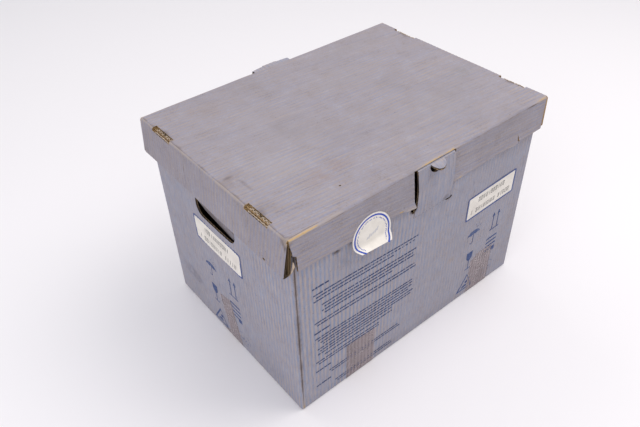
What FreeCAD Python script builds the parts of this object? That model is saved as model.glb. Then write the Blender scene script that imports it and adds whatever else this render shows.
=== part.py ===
import FreeCAD, Part
import math
import os

# A lift-off-lid carton in single-wall corrugated board. The origin is the middle of the
# footprint on the floor: X runs along the long side, -Y is the front, +Z is up.

# Driving dimensions, in millimetres and degrees
LID_LENGTH = 440.0
LID_WIDTH = 321.0
HEIGHT = 315.5
BOARD = 2.6  # single-wall board
CRUSHED = 1.2  # board pressed flat inside the lid's end laps
PAPER = 0.15  # tape, label and seal stock
SEAM = 0.2  # slit between neighbouring panels
SKIRT_DEPTH = 50.0  # lid top to the skirts' lower edge
END_FIT = 0.4  # lid to body at each end
SIDE_FIT = 2.6  # lid to body at front and back
LID_GAP = 0.4  # tuck flap to the underside of the lid

LEFT_FLARE = 7.0  # how far a skirt's lower edge stands out
RIGHT_FLARE = 2.0
SIDE_FLARE = 2.5

DUST_FLAP_LENGTH = 60.0
LOCK_TAB_WIDTH = 43.0
LOCK_TAB_INSET = 56.0  # tab's middle to the lid's front or back edge
LOCK_TAB_RISE = 2.3
LOCK_SLOT_GAP = 0.6  # lock tab to its slot's inner edge
LOCK_SLOT_END_GAP = 0.5

TONGUE_WIDTH = 66.0
TONGUE_SIDE_GAP = 1.5  # tongue to the lid's notch
TONGUE_SLIT = 0.4  # tongue to the wall it is cut from
TONGUE_CREASE_Z = 242.0
TONGUE_OFFSET = 2.0  # the front tongue's middle, right of centre
FRONT_LEAN = 5.8
BACK_LEAN = 8.6
NOTCH_SETBACK = 1.0  # the lid top's edge behind a tongue
TUCK_DEPTH = 13.0
TUCK_INSET = 1.0  # the tuck flap is this much narrower at each side
THUMB_RADIUS = 13.0
THUMB_GAP = 0.2

HAND_HOLE_LENGTH = 90.0
HAND_HOLE_HEIGHT = 28.0
HAND_HOLE_TOP_Z = 246.7
HAND_HOLE_CORNER = 14.0
HAND_HOLE_OFFSET = 6.0  # the left hole's middle, behind centre
HAND_FLAP_GAP = 0.4
HAND_FLAP_ANGLE = 9.0  # how far each flap is pushed in

GLUE_FLAP_WIDTH = 35.0
FLAP_GAP = 0.3  # bottom flaps to what stands beside them

TAPE_WIDTH = 50.0
SEAM_TAPE_RISE = 90.0
SEAM_TAPE_OFFSET = 9.5
LEFT_TAPE_RISE = 73.5
RIGHT_TAPE_RISE = 79.0
LEFT_TAPE_INSET = 103.2  # tape's middle to the body's left end
RIGHT_TAPE_INSET = 75.2  # tape's middle to the body's right end

LABEL_HEIGHT = 42.0
FRONT_LABEL_LENGTH = 107.0
FRONT_LABEL_INSET = 25.2  # label's edge to the body's right end
END_LABEL_LENGTH = 112.0
END_LABEL_OFFSET = 9.4
LABEL_Z = 167.5

SEAL_RADIUS = 32.0
SEAL_INSET = 119.0  # seal's middle to the lid's left end
SEAL_Z = 262.0
SEAL_CHORD = 22.0  # seal's middle to its straight lower edge

# Derived places
LID_X = LID_LENGTH / 2
LID_Y = LID_WIDTH / 2
LID_UNDER = HEIGHT - BOARD
END_LAP = 2 * BOARD + CRUSHED
BODY_X = LID_X - END_LAP - END_FIT
BODY_Y = LID_Y - BOARD - SIDE_FIT
INNER_X = BODY_X - BOARD
INNER_Y = BODY_Y - BOARD
LOCK_SLOT_DEPTH = END_LAP + LOCK_SLOT_GAP
HANG = SKIRT_DEPTH - BOARD  # length of a skirt below the lid's top board
TUCK_TOP = LID_UNDER - LID_GAP
TUCK_UNDER = TUCK_TOP - BOARD
LEFT_TAPE_X = -BODY_X + LEFT_TAPE_INSET
RIGHT_TAPE_X = BODY_X - RIGHT_TAPE_INSET


def vector(x, y, z):
    return FreeCAD.Vector(x, y, z)


def block(x0, x1, y0, y1, z0, z1):
    return Part.makeBox(x1 - x0, y1 - y0, z1 - z0, vector(x0, y0, z0))


def turned(shape, point, axis, angle):
    copy = shape.copy()
    copy.rotate(point, axis, angle)
    return copy


def half_turn(shape):
    """The same piece at the other end, as both come from one repeating cutting pattern."""
    return turned(shape, vector(0, 0, 0), vector(0, 0, 1), 180)


def half_disc(middle_x, edge_y, z0, radius, thickness):
    """A flat half disc that stands out towards -Y from edge_y."""
    disc = Part.makeCylinder(radius, thickness, vector(middle_x, edge_y, z0))
    front = block(middle_x - radius, middle_x + radius, edge_y - radius, edge_y, z0, z0 + thickness)
    return disc.common(front)


def tape_recess():
    """The room that the tapes press into the underside, so that the carton sits flat."""
    seam = block(-BODY_X, BODY_X, -TAPE_WIDTH / 2, TAPE_WIDTH / 2, 0, 2 * PAPER)
    cross = [
        block(x - TAPE_WIDTH / 2, x + TAPE_WIDTH / 2, -BODY_Y, BODY_Y, 0, PAPER)
        for x in (LEFT_TAPE_X, RIGHT_TAPE_X)
    ]
    return seam.translated(vector(0, SEAM_TAPE_OFFSET, 0)).fuse(cross)


def hand_hole(margin):
    """The left end's hand hole, made smaller all round by margin: a D shape, flat side up."""
    low, high = -HAND_HOLE_LENGTH / 2 + margin, HAND_HOLE_LENGTH / 2 - margin
    top = HAND_HOLE_TOP_Z
    bottom = top - HAND_HOLE_HEIGHT + margin
    corner = HAND_HOLE_CORNER - margin
    plate = block(-BODY_X, -INNER_X, low, high, bottom, top)
    lower_edges = [
        edge
        for edge in plate.Edges
        if abs(edge.CenterOfMass.z - bottom) < 0.01 and abs(edge.CenterOfMass.y) > abs(low) - 0.01
    ]
    return plate.makeFillet(corner, lower_edges).translated(vector(0, HAND_HOLE_OFFSET, 0))


def long_wall():
    """The front wall. The tongue's window is open to the wall's upper edge."""
    wall = block(-BODY_X, BODY_X, -BODY_Y, -INNER_Y, 0, LID_UNDER)
    half = TONGUE_WIDTH / 2 + TONGUE_SLIT
    window = block(
        TONGUE_OFFSET - half, TONGUE_OFFSET + half, -BODY_Y, -INNER_Y, TONGUE_CREASE_Z, LID_UNDER
    )
    return wall.cut(window)


def body():
    """The carton's walls, its bottom flaps in two layers, and the maker's joint."""
    recess = tape_recess()
    front = long_wall()
    end = block(-BODY_X, -INNER_X, -INNER_Y, INNER_Y, 0, LID_UNDER)
    end = end.cut(hand_hole(0))
    major = block(-INNER_X, INNER_X, -INNER_Y, -SEAM / 2, 0, BOARD)
    minor_depth = BODY_Y - SEAM
    minor = block(
        -INNER_X,
        -INNER_X + minor_depth,
        -INNER_Y + FLAP_GAP,
        INNER_Y - FLAP_GAP,
        BOARD,
        2 * BOARD,
    )
    glue = block(
        -INNER_X,
        -INNER_X + GLUE_FLAP_WIDTH,
        -INNER_Y,
        -INNER_Y + BOARD,
        2 * BOARD + FLAP_GAP,
        LID_UNDER - FLAP_GAP,
    )
    return {
        "front_wall": front.cut(recess),
        "back_wall": half_turn(front).cut(recess),
        "left_end_wall": end.cut(recess),
        "right_end_wall": half_turn(end).cut(recess),
        "front_bottom_flap": major.cut(recess),
        "back_bottom_flap": half_turn(major).cut(recess),
        "left_bottom_flap": minor,
        "right_bottom_flap": half_turn(minor),
        "glue_flap": glue,
    }


def tapes():
    """A band along the bottom seam and two bands across it, their ends turned up the walls."""
    near, far = SEAM_TAPE_OFFSET - TAPE_WIDTH / 2, SEAM_TAPE_OFFSET + TAPE_WIDTH / 2
    run = block(-BODY_X, BODY_X, near, far, PAPER, 2 * PAPER)
    rise = block(-BODY_X - PAPER, -BODY_X, near, far, PAPER, SEAM_TAPE_RISE)
    mirrored = rise.mirror(vector(0, 0, 0), vector(1, 0, 0))
    made = {"bottom_seam_tape": run.fuse([rise, mirrored]).removeSplitter()}
    for name, x, height in (
        ("cross_tape_left", LEFT_TAPE_X, LEFT_TAPE_RISE),
        ("cross_tape_right", RIGHT_TAPE_X, RIGHT_TAPE_RISE),
    ):
        low, high = x - TAPE_WIDTH / 2, x + TAPE_WIDTH / 2
        run = block(low, high, -BODY_Y, BODY_Y, 0, PAPER)
        rise = block(low, high, -BODY_Y - PAPER, -BODY_Y, 0, height)
        mirrored = rise.mirror(vector(0, 0, 0), vector(0, 1, 0))
        made[name] = run.fuse([rise, mirrored]).removeSplitter()
    return made


def labels():
    """Paper labels, one on the front wall near its right end and one on the left end."""
    right = BODY_X - FRONT_LABEL_INSET
    front = block(
        right - FRONT_LABEL_LENGTH,
        right,
        -BODY_Y - PAPER,
        -BODY_Y,
        LABEL_Z,
        LABEL_Z + LABEL_HEIGHT,
    )
    half = END_LABEL_LENGTH / 2
    end = block(
        -BODY_X - PAPER,
        -BODY_X,
        END_LABEL_OFFSET - half,
        END_LABEL_OFFSET + half,
        LABEL_Z,
        LABEL_Z + LABEL_HEIGHT,
    )
    return {"front_label": front, "left_end_label": end}


def tongue(lean):
    """A front tongue and its tuck flap. The tongue leans out about its crease."""
    slope = math.radians(lean)
    length = (TUCK_UNDER - TONGUE_CREASE_Z - BOARD * math.sin(slope)) / math.cos(slope)
    left, right = TONGUE_OFFSET - TONGUE_WIDTH / 2, TONGUE_OFFSET + TONGUE_WIDTH / 2
    top = TONGUE_CREASE_Z + length
    board = block(left, right, -BODY_Y, -INNER_Y, TONGUE_CREASE_Z, top)
    hole = Part.makeCylinder(
        THUMB_RADIUS + THUMB_GAP, BOARD, vector(TONGUE_OFFSET, -BODY_Y, top), vector(0, 1, 0)
    )
    board = board.cut(hole)
    crease = vector(0, -BODY_Y, TONGUE_CREASE_Z)
    board = turned(board, crease, vector(1, 0, 0), lean)

    fold_y = -BODY_Y - length * math.sin(slope)
    tuck = block(
        left + TUCK_INSET, right - TUCK_INSET, fold_y, fold_y + TUCK_DEPTH, TUCK_UNDER, TUCK_TOP
    )
    thumb = half_disc(TONGUE_OFFSET, fold_y, TUCK_UNDER, THUMB_RADIUS, BOARD)
    return board, tuck.fuse(thumb).removeSplitter()


def tongues():
    """The front tongue and the back one, which leans out further."""
    made = {}
    made["front_tongue"], made["front_tuck_flap"] = tongue(FRONT_LEAN)
    board, tuck = tongue(BACK_LEAN)
    made["back_tongue"], made["back_tuck_flap"] = half_turn(board), half_turn(tuck)
    return made


def hand_flaps():
    """Push-in flaps that stay hinged along the top of each hand hole."""
    hinge = vector(-INNER_X, 0, HAND_HOLE_TOP_Z)
    flap = turned(hand_hole(HAND_FLAP_GAP), hinge, vector(0, 1, 0), -HAND_FLAP_ANGLE)
    return {"left_hand_flap": flap, "right_hand_flap": half_turn(flap)}


def lid_top():
    """The lid's top board, notched for the tongues and slotted for the lock tabs."""
    top = block(-LID_X, LID_X, -LID_Y, LID_Y, LID_UNDER, HEIGHT)
    half = TONGUE_WIDTH / 2 + TONGUE_SIDE_GAP
    notch = block(
        TONGUE_OFFSET - half,
        TONGUE_OFFSET + half,
        -LID_Y,
        -LID_Y + NOTCH_SETBACK,
        LID_UNDER,
        HEIGHT,
    )
    cuts = [half_turn(notch)]
    for side in (-1, 1):
        middle = side * (LID_Y - LOCK_TAB_INSET)
        reach = LOCK_TAB_WIDTH / 2 + LOCK_SLOT_END_GAP
        slot = block(
            -LID_X, -LID_X + LOCK_SLOT_DEPTH, middle - reach, middle + reach, LID_UNDER, HEIGHT
        )
        cuts += [slot, half_turn(slot)]
    return top.cut(notch.fuse(cuts))


def end_lap(flare):
    """A left end: outer panel, dust flaps, inner panel with its lock tabs, and the saddle."""
    across = LID_Y - BOARD - SEAM
    low = LID_UNDER - HANG
    layer_1 = -LID_X + BOARD
    layer_2 = layer_1 + CRUSHED
    layer_3 = layer_2 + BOARD
    outer = block(-LID_X, layer_1, -LID_Y, LID_Y, low + BOARD, LID_UNDER)
    saddle = block(-LID_X, layer_3, -across, across, low, low + BOARD)
    inner = block(layer_2, layer_3, -across, across, low + BOARD, LID_UNDER)
    for side in (-1, 1):
        middle = side * (LID_Y - LOCK_TAB_INSET)
        tab = block(
            layer_2,
            layer_3,
            middle - LOCK_TAB_WIDTH / 2,
            middle + LOCK_TAB_WIDTH / 2,
            LID_UNDER,
            LID_UNDER + LOCK_TAB_RISE,
        )
        inner = inner.fuse(tab)
    front_dust = block(
        layer_1, layer_2, -across, -across + DUST_FLAP_LENGTH, low + BOARD + SEAM, LID_UNDER - SEAM
    )
    back_dust = front_dust.mirror(vector(0, 0, 0), vector(0, 1, 0))
    angle = math.degrees(math.asin(flare / HANG))
    crease = vector(-LID_X, 0, LID_UNDER)
    panels = (outer, saddle, inner.removeSplitter(), front_dust, back_dust)
    return [turned(panel, crease, vector(0, 1, 0), angle) for panel in panels]


def front_skirts():
    """The front skirt's two halves, either side of the notch for the tongue."""
    half = TONGUE_WIDTH / 2 + TONGUE_SIDE_GAP
    reach = LID_X - BOARD - SEAM
    low = LID_UNDER - HANG
    angle = math.degrees(math.asin(SIDE_FLARE / HANG))
    crease = vector(0, -LID_Y, LID_UNDER)
    spans = ((-reach, TONGUE_OFFSET - half), (TONGUE_OFFSET + half, reach))
    return [
        turned(
            block(x0, x1, -LID_Y, -LID_Y + BOARD, low, LID_UNDER), crease, vector(1, 0, 0), -angle
        )
        for x0, x1 in spans
    ]


def seal():
    """A round paper seal on the front skirt, hanging below it down to a straight edge."""
    x = -LID_X + SEAL_INSET
    disc = Part.makeCylinder(SEAL_RADIUS, PAPER, vector(x, -LID_Y - PAPER, SEAL_Z), vector(0, 1, 0))
    below = block(
        x - SEAL_RADIUS,
        x + SEAL_RADIUS,
        -LID_Y - PAPER,
        -LID_Y,
        SEAL_Z - SEAL_RADIUS,
        SEAL_Z - SEAL_CHORD,
    )
    angle = math.degrees(math.asin(SIDE_FLARE / HANG))
    return turned(disc.cut(below), vector(0, -LID_Y, LID_UNDER), vector(1, 0, 0), -angle)


def lid():
    """Every panel of the lid, and the seal stuck to its front."""
    made = {"lid_top_panel": lid_top(), "seal_sticker": seal()}
    names = ("outer_panel", "saddle", "inner_panel")
    left = end_lap(LEFT_FLARE)
    right = [half_turn(panel) for panel in end_lap(RIGHT_FLARE)]
    for name, one, other in zip(names, left, right):
        made["lid_left_" + name] = one
        made["lid_right_" + name] = other
    made["lid_left_front_dust_flap"], made["lid_left_back_dust_flap"] = left[3:]
    made["lid_right_back_dust_flap"], made["lid_right_front_dust_flap"] = right[3:]
    near_left, near_right = front_skirts()
    made["lid_front_left_skirt"], made["lid_front_right_skirt"] = near_left, near_right
    made["lid_back_right_skirt"], made["lid_back_left_skirt"] = (
        half_turn(near_left),
        half_turn(near_right),
    )
    return made


os.makedirs("parts", exist_ok=True)
for group in (body(), tapes(), labels(), tongues(), hand_flaps(), lid()):
    for node, shape in group.items():
        shape.exportStep("parts/" + node + ".step")
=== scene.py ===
import math
import random

import bmesh
import bpy
import numpy as np
from mathutils import Matrix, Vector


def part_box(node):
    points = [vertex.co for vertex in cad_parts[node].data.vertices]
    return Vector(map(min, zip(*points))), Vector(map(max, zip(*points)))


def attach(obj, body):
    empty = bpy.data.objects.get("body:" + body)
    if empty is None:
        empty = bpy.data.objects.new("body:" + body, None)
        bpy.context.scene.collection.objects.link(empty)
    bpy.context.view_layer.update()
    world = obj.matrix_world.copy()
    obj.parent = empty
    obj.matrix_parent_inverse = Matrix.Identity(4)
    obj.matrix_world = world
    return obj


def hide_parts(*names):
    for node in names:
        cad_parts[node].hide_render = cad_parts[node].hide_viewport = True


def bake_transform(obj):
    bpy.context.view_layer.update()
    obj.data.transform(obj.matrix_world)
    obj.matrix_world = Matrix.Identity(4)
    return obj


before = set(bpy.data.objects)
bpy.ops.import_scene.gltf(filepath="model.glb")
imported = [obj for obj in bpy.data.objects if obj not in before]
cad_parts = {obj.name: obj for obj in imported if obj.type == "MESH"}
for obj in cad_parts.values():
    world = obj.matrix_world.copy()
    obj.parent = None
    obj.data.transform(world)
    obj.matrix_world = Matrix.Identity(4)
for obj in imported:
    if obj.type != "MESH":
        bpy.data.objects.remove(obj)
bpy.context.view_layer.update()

# Sizes are in millimetres and become metres in Mesh.make.
MM = 0.001


def corners_mm(node):
    low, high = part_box(node)
    return np.array(low) / MM, np.array(high) / MM


WALL_LOW, WALL_HIGH = corners_mm("front_wall")
TOP_HIGH = corners_mm("lid_top_panel")[1]
TONGUE_LOW, TONGUE_HIGH = corners_mm("front_tongue")
TUCK_LOW, TUCK_HIGH = corners_mm("front_tuck_flap")
SKIRT_LOW, SKIRT_HIGH = corners_mm("lid_front_left_skirt")
SKIRT_RIGHT_LOW = corners_mm("lid_front_right_skirt")[0]
HAND_LOW, HAND_HIGH = corners_mm("left_hand_flap")

BOARD = WALL_HIGH[1] - WALL_LOW[1]
BODY_X = WALL_HIGH[0]
BODY_Y = -WALL_LOW[1]
WALL_TOP = WALL_HIGH[2]
LID_X = TOP_HIGH[0]
LID_Y = TOP_HIGH[1]
LID_TOP = TOP_HIGH[2]
SKIRT_DROP = LID_TOP - SKIRT_LOW[2]
TONGUE_X = (TONGUE_LOW[0] + TONGUE_HIGH[0]) / 2
TONGUE_HALF = (TONGUE_HIGH[0] - TONGUE_LOW[0]) / 2
CREASE_Z = TONGUE_LOW[2]
FOLD_Z = TUCK_LOW[2]
TUCK_TOP = TUCK_HIGH[2]
TUCK_HALF = (TUCK_HIGH[0] - TUCK_LOW[0]) / 2
THUMB_RADIUS = 13.0  # how far the flat thumb tab reaches from its fold
TAB_RADIUS = 11.5  # the worn thumb tab and its opening
FOLD_Y = TUCK_LOW[1] + THUMB_RADIUS
TUCK_DEPTH = TUCK_HIGH[1] - FOLD_Y
BACK_FOLD_Y = corners_mm("back_tuck_flap")[1][1] - THUMB_RADIUS
NOTCH_LEFT = SKIRT_HIGH[0]
NOTCH_RIGHT = SKIRT_RIGHT_LOW[0]
HAND_Y = (HAND_LOW[1] + HAND_HIGH[1]) / 2
HAND_HALF = 45.0  # half the hand hole's length
HAND_HEIGHT = 28.0
HAND_CORNER = 14.0
HAND_REST = 9.0  # how far the flaps are pushed in, in degrees
HAND_TOP = HAND_HIGH[2]
HAND_BOTTOM = HAND_TOP - HAND_HEIGHT
TONGUE_RISE = FOLD_Z - 0.1 - CREASE_Z
LOCK_TAB_Y = 104.5  # the lock tabs' middles, either side of the lid's middle
LOCK_TAB_HALF = 21.5
LOCK_SLOT_HALF = 22.0
LOCK_SLOT_X = 213.0  # the lock slots' inner edge

# Single-wall board: two liners either side of a fluted medium.
PITCH = 6.27
LINER = 0.35
RELIEF = 0.13
MEDIUM_MID = -BOARD / 2
MEDIUM_SWING = BOARD / 2 - LINER - 0.12
MEDIUM_THICK = 0.26
CORNER_RADIUS = 3.0
FOLD_RADIUS = 2.8

rng = random.Random(7)


# ---------------------------------------------------------------- meshes


def spaced(stops, step):
    """The stops in order, with even steps of at most step between them."""
    stops = sorted(set(round(float(s), 4) for s in stops))
    out = [stops[0]]
    for a, b in zip(stops, stops[1:]):
        count = max(1, math.ceil((b - a) / step - 1e-6))
        out += [a + (b - a) * (i + 1) / count for i in range(count)]
    return np.array(out)


def inside(rects, u, v):
    hit = np.zeros(np.broadcast(u, v).shape, bool)
    for u0, u1, v0, v1 in rects:
        hit |= (u > u0) & (u < u1) & (v > v0) & (v < v1)
    return hit


def flat_sheet(rects, holes=(), cutters=(), step_u=1.05, step_v=12.0, stops_u=(), stops_v=()):
    """A flat blank in (u, v): the rectangles, less the holes and the convex cutters."""
    every = list(rects) + list(holes)
    us = spaced([x for r in every for x in r[:2]] + list(stops_u), step_u)
    vs = spaced([x for r in every for x in r[2:]] + list(stops_v), step_v)
    mid_u, mid_v = (us[:-1] + us[1:]) / 2, (vs[:-1] + vs[1:]) / 2
    keep = inside(rects, mid_u[:, None], mid_v[None, :])
    keep &= ~inside(holes, mid_u[:, None], mid_v[None, :])
    i, j = np.nonzero(keep)
    n = len(vs)
    quads = np.stack([i * n + j, (i + 1) * n + j, (i + 1) * n + j + 1, i * n + j + 1], 1)
    used, faces = np.unique(quads, return_inverse=True)
    faces = faces.reshape(quads.shape)
    points = np.stack([us[used // n], vs[used % n]], 1)
    if not len(cutters):
        return points, [tuple(f) for f in faces.tolist()]
    return cut_out(points, faces.tolist(), cutters)


def cut_out(points, faces, cutters):
    """Removes each convex polygon, given anticlockwise, by slicing along its edges in turn."""
    bm = bmesh.new()
    made = [bm.verts.new((x, y, 0)) for x, y in points.tolist()]
    for f in faces:
        bm.faces.new([made[k] for k in f])
    for poly in cutters:
        low, high = np.min(poly, 0) - 0.5, np.max(poly, 0) + 0.5
        within = [
            f
            for f in bm.faces
            if max(v.co.x for v in f.verts) > low[0]
            and min(v.co.x for v in f.verts) < high[0]
            and max(v.co.y for v in f.verts) > low[1]
            and min(v.co.y for v in f.verts) < high[1]
        ]
        for (x0, y0), (x1, y1) in zip(poly, list(poly[1:]) + [poly[0]]):
            normal = (y1 - y0, x0 - x1, 0)
            geom = set(within)
            for f in within:
                geom.update(f.edges)
                geom.update(f.verts)
            cut = bmesh.ops.bisect_plane(
                bm, geom=list(geom), dist=1e-5, plane_co=(x0, y0, 0), plane_no=normal
            )
            faces_now = [g for g in cut["geom"] if isinstance(g, bmesh.types.BMFace)]
            within = []
            for f in faces_now:
                c = f.calc_center_median()
                if (c.x - x0) * normal[0] + (c.y - y0) * normal[1] < 0:
                    within.append(f)
        bmesh.ops.delete(bm, geom=within, context="FACES")
    bm.verts.index_update()
    points = np.array([v.co[:2] for v in bm.verts], float).reshape(-1, 2)
    faces = [tuple(v.index for v in f.verts) for f in bm.faces]
    bm.free()
    return points, faces


def polygon(cx, cy, rx, ry, start=0.0, end=360.0, count=24):
    """Points on an ellipse's arc, anticlockwise."""
    closed = abs(end - start) >= 360
    steps = count if closed else count + 1
    return [
        (
            cx + rx * math.cos(math.radians(start + (end - start) * k / count)),
            cy + ry * math.sin(math.radians(start + (end - start) * k / count)),
        )
        for k in range(steps)
    ]


class Mesh:
    """Collects closed slabs of one piece, with the values that its materials read."""

    def __init__(self):
        self.points, self.faces, self.slots = [], [], []
        self.values = {"flute": [], "worn_and_lit": [], "dirt_and_shade": []}
        self.count = 0

    def add(self, points, faces, slots, flute, worn_and_lit, dirt_and_shade=0.0):
        n = len(points)
        self.points.append(points)
        self.faces += [tuple(k + self.count for k in f) for f in faces]
        self.slots += slots
        self.values["flute"].append(np.broadcast_to(flute, n))
        self.values["worn_and_lit"].append(np.broadcast_to(worn_and_lit, n))
        self.values["dirt_and_shade"].append(np.broadcast_to(dirt_and_shade, n))
        self.count += n

    def slab(self, flat, place, high, low, slots=(0, 1, 1), flute=0.0, worn_and_lit=0.0, dirt_and_shade=0.0):
        """A closed sheet between two depths. slots are its face, back and edge materials."""
        uv, faces = flat
        u, v = uv[:, 0], uv[:, 1]
        n = len(uv)
        points = np.concatenate([place(u, v, high + 0 * u), place(u, v, low + 0 * u)])
        edges = {}
        for f in faces:
            for a, b in zip(f, f[1:] + f[:1]):
                if (b, a) in edges:
                    del edges[(b, a)]
                else:
                    edges[(a, b)] = True
        back = [tuple(k + n for k in reversed(f)) for f in faces]
        sides = [(b, a, a + n, b + n) for a, b in edges]
        marks = [slots[0]] * len(faces) + [slots[1]] * len(back) + [slots[2]] * len(sides)
        twice = lambda x: np.concatenate([np.broadcast_to(x, n)] * 2)
        self.add(points, faces + back + sides, marks, twice(flute), twice(worn_and_lit), twice(dirt_and_shade))

    def make(self, name, materials, smooth=42.0):
        mesh = bpy.data.meshes.new(name)
        mesh.from_pydata((np.concatenate(self.points) * MM).tolist(), [], self.faces)
        for m in materials:
            mesh.materials.append(m)
        mesh.polygons.foreach_set("material_index", self.slots)
        for key, parts in self.values.items():
            attribute = mesh.attributes.new(key, "FLOAT", "POINT")
            attribute.data.foreach_set("value", np.concatenate(parts).astype(np.float32))
        bm = bmesh.new()
        bm.from_mesh(mesh)
        bmesh.ops.recalc_face_normals(bm, faces=bm.faces)
        bm.to_mesh(mesh)
        bm.free()
        mesh.polygons.foreach_set("use_smooth", [True] * len(mesh.polygons))
        mesh.set_sharp_from_angle(angle=math.radians(smooth))
        obj = bpy.data.objects.new(name, mesh)
        bpy.context.scene.collection.objects.link(obj)
        return obj

    def piece(self, name, materials, body, slot, *nodes, smooth=42.0):
        """The finished piece, riding on its body and standing for its CAD nodes."""
        obj = self.make(name, materials, smooth)
        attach(obj, body)
        if nodes:
            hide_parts(*nodes)
        return obj


def board(mesh, rects, place, flutes, holes=(), cutters=(), worn_and_lit=None, stops=((), ()), across=6, dirt_and_shade=None):
    """Two liners and the fluted medium. flutes is "u" or "v", the way the flutes run."""
    along = 12.0
    fine = PITCH / across
    step_u, step_v = (along, fine) if flutes == "u" else (fine, along)
    phase = (lambda u, v: v / PITCH) if flutes == "u" else (lambda u, v: u / PITCH)
    blank = flat_sheet(rects, holes, cutters, step_u, step_v, *stops)
    u, v = blank[0][:, 0], blank[0][:, 1]
    wave = np.cos(2 * np.pi * phase(u, v))
    wear_and_highlight = worn_and_lit(u, v) if worn_and_lit else 0.0
    skin = RELIEF * wave
    grime_and_shade = dirt_and_shade(u, v) if dirt_and_shade else 0.0
    mesh.slab(blank, place, skin, skin - LINER, (0, 1, 2), phase(u, v), wear_and_highlight, grime_and_shade)
    ribs = PITCH / 8
    steps = (24.0, ribs) if flutes == "u" else (ribs, 24.0)
    core = flat_sheet(rects, holes, cutters, *steps, *stops)
    u, v = core[0][:, 0], core[0][:, 1]
    middle = MEDIUM_MID + MEDIUM_SWING * np.cos(2 * np.pi * phase(u, v))
    mesh.slab(core, place, middle + MEDIUM_THICK / 2, middle - MEDIUM_THICK / 2, (2, 2, 2))
    plain = flat_sheet(rects, holes, cutters, 9.0, 9.0, *stops)
    mesh.slab(plain, place, LINER - BOARD, -BOARD, (1, 1, 2))


def fold_path(points, radius):
    """A polyline with rounded corners. Returns a function from length to point and the
    normal on its right-hand side."""
    pts = [np.array(p, float) for p in points]
    track, normals = [pts[0]], []
    for k in range(1, len(pts)):
        way = (pts[k] - pts[k - 1]) / np.linalg.norm(pts[k] - pts[k - 1])
        right = np.array([way[1], -way[0]])
        if k == len(pts) - 1:
            if not normals:
                normals.append(right)
            track.append(pts[k])
            normals.append(right)
            break
        onward = (pts[k + 1] - pts[k]) / np.linalg.norm(pts[k + 1] - pts[k])
        turn = math.atan2(way[0] * onward[1] - way[1] * onward[0], float(way @ onward))
        start = pts[k] - way * radius * math.tan(abs(turn) / 2)
        sign = 1 if turn > 0 else -1
        centre = start - right * radius * sign
        if not normals:
            normals.append(right)
        for step in range(9):
            a = turn * step / 8
            spun = np.array(
                [
                    right[0] * math.cos(a) - right[1] * math.sin(a),
                    right[0] * math.sin(a) + right[1] * math.cos(a),
                ]
            )
            track.append(centre + spun * radius * sign)
            normals.append(spun)
    track, normals = np.array(track), np.array(normals)
    lengths = np.concatenate([[0], np.cumsum(np.linalg.norm(np.diff(track, axis=0), axis=1))])

    def at(s):
        p = [np.interp(s, lengths, track[:, k]) for k in (0, 1)]
        n = [np.interp(s, lengths, normals[:, k]) for k in (0, 1)]
        size = np.hypot(*n)
        return p[0], p[1], n[0] / size, n[1] / size

    at.length = float(lengths[-1])
    at.marks = lengths
    return at


def bump(x, low, high):
    """A smooth hill that is 0 at low and high and 1 halfway."""
    t = np.clip((x - low) / (high - low), 0, 1)
    return np.sin(np.pi * t) ** 1.5


def near(x, centre, width, peak=1.0):
    """peak at centre, falling by 1 over each width, and held between 0 and 1."""
    return np.clip(peak - np.abs(x - centre) / width, 0, 1)


def oval(u, v, centre, reach, peak=1.0):
    """The same falling off in an oval about a centre."""
    away = np.hypot((u - centre[0]) / reach[0], (v - centre[1]) / reach[1])
    return np.clip(peak - away, 0, 1)


def hump(a, half):
    """1 in the middle of a panel, easing to 0 at half its width."""
    return np.cos(np.pi / 2 * np.clip(np.abs(a) / half, 0, 1)) ** 2


def ripple(a, b, seed, size=60.0):
    """Slow unevenness between about -1 and 1, the same on every run."""
    waves = random.Random(seed)
    total = 0
    for _ in range(5):
        angle, phase = waves.uniform(0, 2 * math.pi), waves.uniform(0, 2 * math.pi)
        reach = size * waves.uniform(0.6, 1.7)
        way = math.cos(angle) * a + math.sin(angle) * b
        total = total + np.sin(way * 2 * math.pi / reach + phase)
    return total / 5


# ---------------------------------------------------------------- materials


def new_material(name):
    material = bpy.data.materials.new(name)
    material.use_nodes = True
    nodes, links = material.node_tree.nodes, material.node_tree.links
    return material, nodes, links, nodes["Principled BSDF"]


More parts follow.
